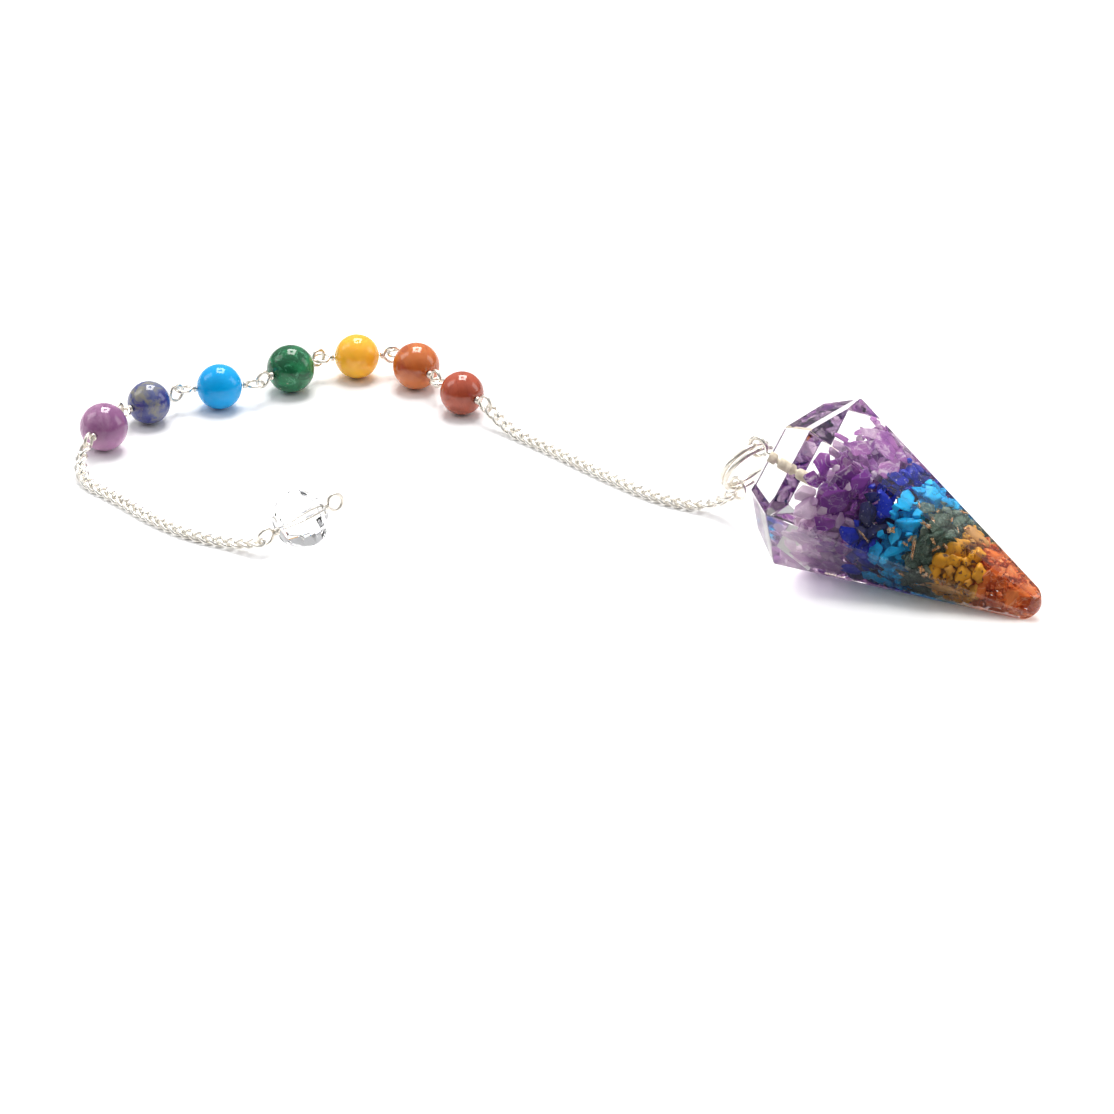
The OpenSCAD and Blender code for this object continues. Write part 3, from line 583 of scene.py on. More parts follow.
chipLooks = {"amethyst": {"scale": 230.0, "dark": (0.2, 0.045, 0.3, 1), "body": (0.48, 0.2, 0.5, 1),
                          "light": (0.9, 0.8, 0.86, 1), "darkShare": 0.46, "lightShare": 0.46,
                          "tones": ((0.76, 0.66, 0.72, 1), (0.24, 0.05, 0.36, 1)), "vein": (0.86, 0.8, 0.88, 1),
                          "veinScale": 300.0, "veinWidth": 0.014, "veinShare": 0.5, "clear": 0.5, "ior": 1.12,
                          "shine": 0.5, "smooth": 0.08, "rough": 0.25, "relief": 0.00004,
                          "lamps": (0.78, 0.66, 0.87, 1), "lampShare": 0.75},
             "lapis": {"scale": 420.0, "dark": (0.003, 0.006, 0.1, 1), "body": (0.004, 0.014, 0.36, 1),
                       "light": (0.012, 0.05, 0.5, 1), "tones": ((0.008, 0.03, 0.45, 1), (0.03, 0.03, 0.045, 1)),
                       "speck": (0.34, 0.34, 0.4, 1), "speckAt": 0.67, "speckScale": 2400.0, "shine": 0.25,
                       "ior": 1.5, "rough": 0.4, "smooth": 0.2, "relief": 0.00004},
             "turquoise": {"scale": 380.0, "dark": (0.0, 0.25, 0.56, 1), "body": (0.0, 0.42, 0.84, 1),
                           "light": (0.03, 0.56, 0.92, 1), "tones": ((0.04, 0.56, 0.92, 1), (0.0, 0.26, 0.58, 1)),
                           "vein": (0.0, 0.07, 0.14, 1), "veinScale": 420.0, "veinWidth": 0.016, "shine": 0.25,
                           "ior": 1.5, "rough": 0.45, "smooth": 0.25, "relief": 0.00004},
             "aventurine": {"scale": 380.0, "dark": (0.06, 0.11, 0.085, 1), "body": (0.2, 0.28, 0.23, 1),
                            "light": (0.5, 0.56, 0.5, 1), "lightShare": 0.42,
                            "tones": ((0.4, 0.48, 0.41, 1), (0.06, 0.11, 0.085, 1)), "vein": (0.56, 0.6, 0.55, 1),
                            "veinScale": 500.0, "veinShare": 0.4, "clear": 0.6, "lamps": (0.75, 0.82, 0.78, 1),
                            "lampShare": 0.5, "ior": 1.12, "rough": 0.3, "smooth": 0.1, "relief": 0.00004},
             "citrine": {"scale": 620.0, "dark": (0.32, 0.12, 0.004, 1), "body": (0.68, 0.3, 0.004, 1),
                         "light": (0.82, 0.42, 0.01, 1), "darkShare": 0.36, "lightShare": 0.3,
                         "tones": ((0.46, 0.24, 0.08, 1), (0.42, 0.2, 0.02, 1)), "speck": (0.1, 0.04, 0.015, 1),
                         "speckAt": 0.61, "speckScale": 1500.0, "shine": 0.3, "ior": 1.5, "rough": 0.5,
                         "smooth": 0.25, "relief": 0.00012},
             "carnelian": {"scale": 380.0, "dark": (0.4, 0.06, 0.012, 1), "body": (0.78, 0.2, 0.04, 1),
                           "light": (0.92, 0.46, 0.2, 1), "darkShare": 0.42,
                           "tones": ((0.86, 0.36, 0.13, 1), (0.56, 0.1, 0.016, 1)), "vein": (0.85, 0.5, 0.32, 1),
                           "veinScale": 500.0, "veinShare": 0.5, "clear": 0.3, "ior": 1.12, "rough": 0.3,
                           "smooth": 0.1, "relief": 0.00005, "lamps": (0.95, 0.6, 0.4, 1), "lampShare": 0.5}}
# The stones in sight under the front facets, by the facet's angle round the axis:
# (along, across, above, half length, half width, half thickness, turn on the facet, tone)
heroStones = {"amethyst": {90: [(4.8, -0.6, 8.0, 3.59, 1.79, 0.78, 81, 0.6),
                                (6.4, 2.2, 7.8, 3.04, 1.57, 0.6, 157, 0.5),
                                (9.2, 0.1, 6.8, 2.92, 1.61, 0.78, 96, 0.45),
                                (6.4, 5.2, 7.8, 3.0, 1.35, 0.52, -11, 0.4),
                                (4.2, 3.0, 8.4, 2.64, 1.29, 0.52, 72, 0.15),
                                (8.7, 4.6, 7.3, 2.06, 1.35, 0.52, -11, 0.5),
                                (3.6, 5.4, 8.7, 1.12, 0.99, 0.38, -11, 0.25),
                                (2.9, 4.7, 9.0, 0.78, 0.76, 0.29, 35, 0.35)],
                           150: [(3.1, -6.1, 6.7, 2.59, 1.23, 0.6, 108, 0.75),
                                 (6.1, -4.3, 7.5, 2.43, 1.92, 0.95, 88, 0.5),
                                 (8.2, -4.4, 6.6, 2.11, 1.56, 0.78, 48, 0.95),
                                 (6.5, -6.4, 3.5, 2.63, 2.08, 1.04, 58, 0.9),
                                 (3.5, -8.7, 1.1, 2.26, 1.92, 0.95, 88, 0.08),
                                 (6.7, -8.1, 1.1, 2.11, 1.38, 0.69, 38, 0.85)],
                           210: [(4.5, -8.4, -2.1, 2.58, 1.35, 0.52, 4, 0.15),
                                 (4.4, -5.9, -6.4, 2.82, 1.35, 0.52, -7, 0.25),
                                 (7.6, -5.1, -6.2, 2.56, 1.35, 0.52, 13, 0.2),
                                 (9.6, -7.6, -0.8, 2.47, 1.4, 0.6, 54, 0.5),
                                 (2.8, -7.3, -4.8, 2.02, 1.35, 0.52, -76, 0.05),
                                 (7.3, -7.6, -2.1, 2.69, 1.11, 0.52, 59, 0.3)]},
              "lapis": {90: [(11.0, 4.2, 6.2, 2.12, 2.02, 0.93, 3, 0.3),
                             (11.1, -0.5, 6.5, 1.62, 1.35, 0.62, 61, 0.5)],
                        150: [(12.0, -4.1, 5.0, 1.99, 1.41, 0.83, 128, 0.12),
                              (9.8, -7.3, 0.8, 2.25, 1.31, 0.78, -26, 0.2),
                              (10.7, -5.5, 3.4, 2.25, 1.41, 0.83, 103, 0.97),
                              (13.0, -5.6, 1.9, 1.93, 1.38, 0.83, 48, 0.95),
                              (10.1, -4.7, 5.7, 1.23, 0.87, 0.52, 58, 0.9),
                              (11.2, -6.8, 1.3, 1.22, 1.05, 0.62, 88, 0.97)],
                        210: [(10.2, -4.8, -5.2, 2.36, 1.35, 0.62, 13, 0.2)]},
              "turquoise": {90: [(13.6, -2.7, 5.6, 2.24, 1.53, 0.91, 115, 0.3),
                                 (15.1, 1.8, 5.2, 2.16, 2.06, 0.95, 19, 0.3),
                                 (17.3, 2.2, 5.2, 1.06, 0.9, 0.41, 3, 0.4)],
                            150: [(15.3, -3.9, 3.8, 2.38, 1.35, 0.81, 38, 0.35),
                                  (16.0, -5.8, 0.5, 1.5, 1.07, 0.64, 38, 0.4),
                                  (13.8, -6.8, -0.5, 1.93, 1.39, 0.83, 9, 0.35)],
                            210: [(13.5, -3.8, -5.0, 2.36, 1.57, 0.72, 13, 0.3)]},
              "aventurine": {90: [(16.1, -1.2, 5.3, 1.76, 1.29, 0.62, 72, 0.3),
                                  (18.9, -0.7, 4.3, 2.69, 1.69, 0.88, 81, 0.5),
                                  (20.0, 2.2, 4.1, 1.41, 1.79, 0.83, 3, 0.35)],
                             150: [(18.6, -4.0, 2.3, 2.25, 1.09, 0.64, 103, 0.5),
                                   (19.4, -2.9, 3.9, 1.58, 1.04, 0.62, 58, 0.5),
                                   (18.4, -5.2, 0.4, 1.4, 1.04, 0.62, 68, 0.65)],
                             210: [(17.9, -4.5, -1.4, 2.13, 1.79, 0.83, 28, 0.6),
                                   (19.2, -3.3, -3.4, 2.03, 1.12, 0.52, 4, 0.5)]},
              "citrine": {90: [(22.8, 1.4, 3.3, 2.17, 1.62, 0.93, -4, 0.0)],
                          150: [(22.4, -1.7, 3.4, 1.93, 1.47, 1.1, 48, 0.3),
                                (21.5, -3.2, 1.3, 1.66, 1.43, 1.06, 78, 0.35),
                                (24.4, -2.8, 0.9, 1.64, 1.27, 0.93, 118, 0.4),
                                (26.2, -1.9, 1.5, 1.48, 1.22, 0.91, 88, 0.3),
                                (22.9, -2.9, 2.0, 1.23, 0.95, 0.71, 28, 0.45),
                                (21.4, -4.4, -0.1, 1.23, 1.04, 0.78, 28, 0.5)],
                          210: [(22.8, -2.9, -1.8, 2.95, 1.35, 0.78, 4, 0.0)]},
              "carnelian": {90: [(26.1, 1.8, 2.5, 2.34, 1.57, 0.85, -11, 0.6),
                                 (32.2, 0.4, 0.9, 2.03, 1.68, 0.91, 3, 0.25),
                                 (29.1, 0.9, 2.0, 1.99, 1.17, 0.63, -4, 0.2)],
                            150: [(27.5, -1.4, 1.6, 1.65, 1.44, 0.99, 98, 0.7),
                                  (27.3, -2.6, -0.1, 1.67, 1.24, 0.87, 28, 0.55),
                                  (31.0, -1.1, 0.2, 2.38, 1.42, 0.99, 38, 0.2),
                                  (33.7, -0.6, 0.5, 1.58, 1.04, 0.72, 38, 0.4)],
                            210: [(29.4, -1.6, -0.9, 1.91, 1.17, 0.63, 28, 0.7)],
                            270: [(29.0, -0.4, -2.4, 1.7, 1.2, 0.5, 0, 0.5),
                                  (31.6, -0.1, -1.7, 1.3, 1.0, 0.5, 0, 0.4)]}}


shapeFacts = {"seed": 71, "shards": 9, "corners": 12, "cornerReach": (0.8, 1.05), "flatten": 18, "chamfer": 0.06,
              "reach": 1.04, "lumps": 6, "bumps": 8, "core": 0.62, "bumpSharpness": 9}


def makeShapes(lumpy):  # a few broken-stone shapes of radius 1, flat-sided or knobbly
    name, s = "lumpyShapes" if lumpy else "shardShapes", shapeFacts
    shapes, rng = bpy.data.collections.new(name), np.random.default_rng(s["seed"])
    for n in range(s["lumps"] if lumpy else s["shards"]):
        work = bmesh.new()
        if lumpy:
            bumps = rng.normal(size=(s["bumps"], 3))
            bumps /= np.linalg.norm(bumps, axis=1)[:, None]
            bmesh.ops.create_icosphere(work, subdivisions=3, radius=1.0)
            for vert in work.verts:
                near = max(0.0, float((bumps @ np.array(vert.co)).max()))
                vert.co *= s["core"] + (1 - s["core"]) * near ** s["bumpSharpness"]
        else:
            for direction in rng.normal(size=(s["corners"], 3)):
                work.verts.new(Vector(direction / np.linalg.norm(direction)) * float(rng.uniform(*s["cornerReach"])))
            bmesh.ops.convex_hull(work, input=work.verts)
            bmesh.ops.dissolve_limit(work, angle_limit=math.radians(s["flatten"]), verts=work.verts, edges=work.edges)
            bmesh.ops.bevel(work, geom=work.edges[:], offset=s["chamfer"], segments=1, affect="EDGES", profile=0.5)
            for vert in work.verts:
                vert.co *= min(1.0, s["reach"] / vert.co.length)
        bmesh.ops.recalc_face_normals(work, faces=work.faces)
        for face in work.faces:
            face.smooth = lumpy
        mesh = bpy.data.meshes.new(f"{name}{n}")
        work.to_mesh(mesh)
        work.free()
        shapes.objects.link(bpy.data.objects.new(f"{name}{n}", mesh))
    return shapes


# How the stones are packed: space under the facets, stretch allowed for a shape's own bumps, and two passes,
# stout stones for the core first and then chips that fit the gaps (None takes the kind's own shape and sizes)
packing = {"clearance": 0.3, "stretch": 1.05, "rounds": 14, "past": 2.5, "outwards": 0.45, "sizeSpread": (0.6, 1.15),
           "axisLeast": 0.5, "wallMost": 1.06, "endSpace": 0.6, "uneven": (0.88, 1.12), "tilt": 1.2, "overlap": 0.94,
           "passes": ({"tries": 400, "shape": (1.0, 0.92, 0.85), "size": 1.1, "least": 0.7, "spread": 0.62,
                       "apart": 0.72},
                      {"tries": 5000, "shape": None, "size": 1.0, "least": None, "spread": 1.0, "apart": 0.76})}


# Depth of a stone's colour, 0 to 1: it grows from the least at the girdle to full this far along the point,
# and amethyst keeps only a share of it past this part of the way out to the low front wall, as painted light from
# below that makes those stones paler
toneDepthAndPaintedLight = {"least": 0.3, "full": 6, "wall": 3, "paintedLightFrom": 0.45, "share": 0.25}


def keptInside(centre, half, turn):  # moves a stone inward until it clears every facet and the tip
    axes = np.array(turn) * np.array(half) * packing["stretch"]
    for _ in range(packing["rounds"]):
        before = centre
        for facet in map(np.array, facetNormals):
            reach = float(facet @ centre + np.linalg.norm(axes.T @ facet))
            over = reach - point["run"] * facet[0] + packing["clearance"]
            if over > 0:
                centre = centre - facet * over
        over = centre[0] + float(np.linalg.norm(axes[0])) - (point["length"] - packing["clearance"])
        if over > 0:
            centre = centre - np.array((over, 0, 0))
        if centre is before:
            break
    return centre


def onFacet(angle, spin):  # the turn of a flat thing that lies along a long facet
    normal = facetNormals[(angle - 30) // 60]
    along = (Vector((1, 0, 0)) - normal * normal.x).normalized()
    x = along * math.cos(math.radians(spin)) + normal.cross(along) * math.sin(math.radians(spin))
    return Matrix((x, normal.cross(x), normal)).transposed()


def stonePlaces(kind, rng):
    facts, places, p = stones[kind], [], packing
    for angle, rows in heroStones[kind].items():
        for u, v, w, a, b, c, spin, tone in rows:
            half, turn = np.array((a, b, c)), onFacet(angle, spin)
            places.append((keptInside(np.array((u, v, w)), half, turn), half, turn, (a * b * c) ** (1 / 3), tone))
    low, high = facts["zone"]
    lowSlant, highSlant = facts["slant"]
    big, small = facts["sizes"]
    for run in p["passes"]:
        shape, size, apart = run["shape"] or facts["shape"], big * run["size"], run["apart"]
        least = big * run["least"] if run["least"] else small
        plump = float(np.prod(shape)) ** (1 / 3) / 2  # mean half size of a stone of size 1
        for _ in range(run["tries"]):
            u = rng.uniform(low - p["past"], high + p["past"])
            around = rng.uniform(0, 2 * math.pi)
            wall = max(p["axisLeast"], apothemAt(u) * p["wallMost"])
            out = wall * run["spread"] * rng.uniform(0, 1) ** p["outwards"]
            centre = np.array((u, out * math.cos(around), out * math.sin(around)))
            gap = min([np.linalg.norm(centre - other[0]) / apart - other[3] for other in places])
            girth = min(gap, plump * size * rng.uniform(*p["sizeSpread"]))
            start, end = low + lowSlant * centre[1], high + highSlant * centre[1]
            if girth < plump * least or start + girth * p["endSpace"] > u or u > end - girth * p["endSpace"]:
                continue
            half = np.array(shape) * girth / (2 * plump) * rng.uniform(*p["uneven"], 3)
            turn = Matrix.Rotation(rng.uniform(0, fullTurn), 3, "X")
            turn = turn @ Matrix.Rotation(rng.uniform(-p["tilt"], p["tilt"]), 3, "Y")
            turn = turn @ Matrix.Rotation(rng.uniform(0, fullTurn), 3, "Z")
            centre = keptInside(centre, half, turn)
            if all(np.linalg.norm(centre - other[0]) > p["overlap"] * apart * (girth + other[3]) for other in places):
                depth = rng.uniform(0, 1) * min(1.0, max(toneDepthAndPaintedLight["least"], u / toneDepthAndPaintedLight["full"]))
                towards = np.dot(wallNormals[toneDepthAndPaintedLight["wall"]], centre[1:])
                # painted light: amethyst by the low front wall is made paler
                if kind == "amethyst" and towards > toneDepthAndPaintedLight["paintedLightFrom"] * apothemAt(u):
                    depth *= toneDepthAndPaintedLight["share"]
                places.append((centre, half, turn, girth, depth))
    print(kind, len(places), "stones")
    return places


def buildStones(kind, shapes, seed):
    places = stonePlaces(kind, np.random.default_rng(seed))
    base = pointTurn.to_3x3()
    mesh = meshFrom(kind, [pointTurn @ Vector(p[0]) for p in places])
    turns = [tuple((base @ p[2]).to_euler()) for p in places]
    keepValues(mesh, "stoneTurn", "FLOAT_VECTOR", [c for t in turns for c in t])
    keepValues(mesh, "stoneSize", "FLOAT_VECTOR", [float(c) * mm for p in places for c in p[1]])
    keepValues(mesh, "tone", "FLOAT", [float(p[4]) for p in places])
    material = stoneMaterial(kind + "Stone", chipLooks[kind])
    grown = grownMesh(kind, mesh, shardTree, {"Shapes": shapes, "Seed": seed, "Material": material})
    addPiece(kind + "Chips", grown, material, kind + "_chips")


shardShapes, lumpyShapes = makeShapes(False), makeShapes(True)
for seed, kind in enumerate(stones, 31):
    buildStones(kind, lumpyShapes if kind == "citrine" else shardShapes, seed)
print("stones set")

# Copper leaf: scraps in sight by facet as (along, across, above, half length, half width, turn),
# and more scattered at random, each a small folded sheet
leaf = {"count": 16, "zone": (13.5, 22.0), "size": 0.9, "grid": 7, "seenSize": 0.75, "seed": 5, "depth": 0.6,
        "aside": 0.35, "long": (0.4, 1.2), "wide": (0.15, 0.4), "fold": 0.12, "ragged": 0.25, "clearance": 0.15,
        "thick": 0.04, "foldShare": 0.3, "crumple": 0.4,
        "seen": {90: [(19.6, 2.7, 5.1, 0.71, 0.27, 35), (17.7, -0.6, 5.6, 0.58, 0.17, 103),
                      (18.2, -2.5, 5.4, 0.66, 0.21, -34)],
                 150: [(18.0, -3.5, 5.0, 0.91, 0.31, -6), (14.5, -5.6, 3.1, 0.63, 0.45, 28),
                       (18.0, -5.2, 2.0, 1.59, 0.25, 108), (20.4, -3.9, 2.9, 0.74, 0.24, 58),
                       (20.0, -5.6, 0.2, 0.52, 0.39, -31), (17.1, -4.9, 2.9, 0.56, 0.21, 78),
                       (11.9, -7.3, 1.4, 1.15, 0.16, -21), (21.3, -3.3, 3.5, 0.45, 0.21, -11)],
                 210: [(17.4, -5.3, -2.0, 0.49, 0.31, -29), (19.7, -4.2, -2.8, 1.27, 0.22, 21),
                       (22.7, -4.5, -0.8, 0.49, 0.22, -76), (20.6, -5.3, -0.4, 0.58, 0.31, 47)]}}


def buildLeaf():
    rng, seen = np.random.default_rng(leaf["seed"]), leaf["seenSize"] * 2
    places = [(np.array(row[:3]), row[3] * seen, row[4] * seen, onFacet(angle, row[5]))
              for angle, rows in leaf["seen"].items() for row in rows]
    for _ in range(leaf["count"]):
        u, k = rng.uniform(*leaf["zone"]), int(rng.integers(6))
        ny, nz = wallNormals[k]
        out = apothemAt(u) - leaf["depth"]
        aside = rng.uniform(-leaf["aside"], leaf["aside"])
        centre = np.array((u, ny * out, nz * out)) + np.array((0, -nz, ny)) * aside * out
        size, wide = leaf["size"] * rng.uniform(*leaf["long"]), leaf["size"] * rng.uniform(*leaf["wide"])
        places.append((centre, size, wide, onFacet(30 + 60 * k, rng.uniform(0, 360))))
    points, faces, n = [], [], leaf["grid"]
    for centre, size, wide, turn in places:
        fold, phase = min(leaf["fold"], leaf["foldShare"] * wide), rng.uniform(0, fullTurn, 4)
        start = len(points)
        for i in range(n):
            for j in range(n):
                s, t = i / (n - 1) - 0.5, j / (n - 1) - 0.5
                edge = 1 - leaf["ragged"] * math.sin(9 * s + phase[0]) * math.sin(7 * t + phase[1])
                crumple = rng.uniform(-leaf["crumple"], leaf["crumple"])
                lift = fold * (math.sin(8 * s + phase[2]) + math.sin(11 * t + 3 * s + phase[3]) + crumple)
                spot = Vector(centre) + turn @ Vector((s * size * edge, t * wide * edge, lift))
                for facet in facetNormals:
                    spot -= facet * max(0.0, facet.dot(spot) - point["run"] * facet.x + leaf["clearance"])
                points.append(spot)
        corners = [start + i * n + j for i in range(n - 1) for j in range(n - 1)]
        faces += [(c, c + 1, c + n + 1, c + n) for c in corners]
    mesh = meshFrom("copperLeaf", [pointTurn @ p for p in points], faces)
    for face in mesh.polygons:
        face.use_smooth = False
    piece = addPiece("copperLeaf", mesh, copper, "copper_flakes")
    thick = piece.modifiers.new("thick", "SOLIDIFY")
    thick.thickness, thick.offset = leaf["thick"] * mm, 0


buildLeaf()

# The eye's loop is drawn by degrees; its neck and the start of the shank are in shares of the loop's radius
eye = {"r": 1.25, "wire": 0.3, "at": -9.45, "loop": (14, 340, 6), "neck": (1.12, 1.5), "neckSide": (0.02, 0),
       "steps": 3, "shankFrom": 1.6, "shankR": 0.27, "shankEnd": -0.05, "shankPoints": 12,
       "threadFrom": -6.2, "threadPitch": 0.42, "threadSides": 14, "threadWire": 0.075}


def buildEye():
    r, at, end = eye["r"], eye["at"], eye["shankEnd"]
    loop = [Vector((at + r * math.cos(math.radians(a)), 0.0, r * math.sin(math.radians(a))))
            for a in range(*eye["loop"])]
    neck = [Vector((at + r * share, 0, side)) for share, side in zip(eye["neck"], eye["neckSide"])]
    run = smoothed(loop[::-1] + neck, eye["steps"])
    run += [Vector((u, 0, 0)) for u in np.linspace(at + r * eye["shankFrom"], end, eye["shankPoints"])]
    radii = [eye["wire"]] * (len(run) - eye["shankPoints"]) + [eye["shankR"]] * eye["shankPoints"]
    thread, sides = [], eye["threadSides"]
    for i in range(int((end - eye["threadFrom"]) / eye["threadPitch"]) * sides):
        a = math.radians(i * 360 / sides)
        thread.append(Vector((eye["threadFrom"] + eye["threadPitch"] * i / sides, eye["shankR"] * math.cos(a),
                              eye["shankR"] * math.sin(a))))
    runs = [([pointTurn @ p for p in run], radii), ([pointTurn @ p for p in thread], eye["threadWire"])]
    wirePiece("screwEye", runs, "screw_eye")


# The rings: the split ring steps across from one turn to the other over "jog" degrees, from "jogFrom"
rings = {"splitAt": (25.487, -11.533, 8.964), "heading": 38.3, "lean": 28.4, "start": 60, "splitR": 3.85,
         "splitWire": 0.3, "pitch": 0.78, "degrees": 600, "jogFrom": 245, "jog": 50, "splitPoints": 241,
         "jumpAt": (24.190, -9.891, 5.094), "jumpR": 1.42, "jumpWire": 0.23, "jumpRise": 0.02,
         "jumpArc": (-176, 178, 90)}


def buildRings():
    turn = placedAt(rings["splitAt"], rings["heading"])
    turn = turn @ Matrix.Rotation(math.radians(90 + rings["lean"]), 4, "X")
    turn = turn @ Matrix.Rotation(math.radians(rings["start"]), 4, "Z")
    run, r = [], rings["splitR"]
    for degrees in np.linspace(0, rings["degrees"], rings["splitPoints"]):
        share = max(0.0, min(1.0, (degrees - rings["jogFrom"]) / rings["jog"]))
        across = rings["pitch"] * (share * share * (3 - 2 * share) - 0.5)
        run.append(turn @ Vector((r * math.cos(math.radians(degrees)), r * math.sin(math.radians(degrees)), across)))
    wirePiece("splitRing", [(run, rings["splitWire"])], "split_ring")
    turn, r = placedAt(rings["jumpAt"], rings["heading"]) @ Matrix.Rotation(math.radians(90), 4, "Y"), rings["jumpR"]
    run = [turn @ Vector((r * math.cos(math.radians(a)), r * math.sin(math.radians(a)),
                          rings["jumpRise"] * (a - 180) / 180)) for a in np.linspace(*rings["jumpArc"])]
    wirePiece("jumpRing", [(run, rings["jumpWire"])], "jump_ring")


# Glue in two lumps around the shank, each row along and out from the axis
glue = {"seed": 3, "around": 24, "wave": 0.03, "ripple": 0.26, "uneven": 0.012,
        "outer": [(-4.47, 0.45), (-4.43, 0.62), (-4.33, 0.72), (-3.9, 0.74), (-3.3, 0.73), (-3.0, 0.66),
                  (-2.88, 0.36)],
        "inner": [(-2.5, 0.36), (-2.38, 0.66), (-2.2, 0.73)], "straight": (-2.0, 0.1, 7), "straightR": 0.74,
        "end": [(0.3, 0.68), (0.42, 0.5), (0.47, 0.3)]}
glueLook = {"scale": 900.0, "dark": (0.55, 0.48, 0.35, 1), "body": (0.76, 0.69, 0.54, 1),
            "light": (0.88, 0.82, 0.68, 1), "shine": 0.2, "rough": 0.5, "smooth": 0.3, "relief": 0.00003}


def buildPlug():
    rng, around, rows = np.random.default_rng(glue["seed"]), glue["around"], []
    straight = [(u, glue["straightR"]) for u in np.linspace(*glue["straight"])]
    for u, r in glue["outer"] + glue["inner"] + straight + glue["end"]:
        wave = [r * (1 + glue["wave"] * math.sin(3 * k * glue["ripple"] + u * 2)
                     + rng.uniform(-glue["uneven"], glue["uneven"])) for k in range(around)]
        turns = [k * 2 * math.pi / around for k in range(around)]
        rows.append([pointTurn @ Vector((u, w * math.cos(a), w * math.sin(a))) for w, a in zip(wave, turns)])
    addPiece("gluePlug", ringedMesh("gluePlug", rows), stoneMaterial("setGlue", glueLook), "glue_plug")


buildEye()
buildRings()
buildPlug()
print("eye and rings made")

links = {"half": 1.246, "halfWide": 0.699, "twist": 60.0, "wire": 0.216, "steps": 40, "sides": 12}


def linkPathObject():  # one curb link: an oval, twisted along its length
    points = []
    for i in range(links["steps"]):
        a = 2 * math.pi * i / links["steps"]
        twist = math.radians(links["twist"]) * math.cos(a)
        points.append((links["half"] * math.cos(a), links["halfWide"] * math.sin(a) * math.cos(twist),
                       links["halfWide"] * math.sin(a) * math.sin(twist)))
    mesh = meshFrom("linkPath", points, edges=[(i, (i + 1) % len(points)) for i in range(len(points))])
    return bpy.data.objects.new("linkPath", mesh)


def linkPlaces(node):  # middle and turn of each link of a CAD chain
    work = bmesh.new()
    work.from_mesh(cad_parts[node].data)
    bmesh.ops.remove_doubles(work, verts=work.verts, dist=1e-6)
    seen, places = set(), []
    for vert in work.verts:
        if vert in seen:
            continue
        island, todo = [], [vert]
        seen.add(vert)
        while todo:
            at = todo.pop()
            island.append(at.co[:])
            for edge in at.link_edges:
                other = edge.other_vert(at)
                if other not in seen:
                    seen.add(other)
                    todo.append(other)
        cloud = np.array(island)
        middle = cloud.mean(0)
        _, axes = np.linalg.eigh(np.cov((cloud - middle).T))
        x, y = Vector(axes[:, 2]), Vector(axes[:, 1])
        turn = Matrix((x, y, x.cross(y))).transposed()
        places.append((middle / mm, turn.to_euler()))
    work.free()
    return places


def buildChain(node, pathObject):
    places = linkPlaces(node)
    mesh = meshFrom(node, [p[0] for p in places])
    keepValues(mesh, "linkTurn", "FLOAT_VECTOR", [c for p in places for c in p[1]])
    name = node.split("_")[0] + "ChainLinks"
    grown = grownMesh(name, mesh, linkTree,
                      {"Link Path": pathObject, "Wire Radius": links["wire"] * mm, "Sides": links["sides"],
                       "Material": chainSilver})
    addPiece(name, tidied(grown), chainSilver, node)
    print(name, len(places), "links")


linkPath = linkPathObject()
buildChain("pendant_chain", linkPath)
buildChain("crystal_chain", linkPath)

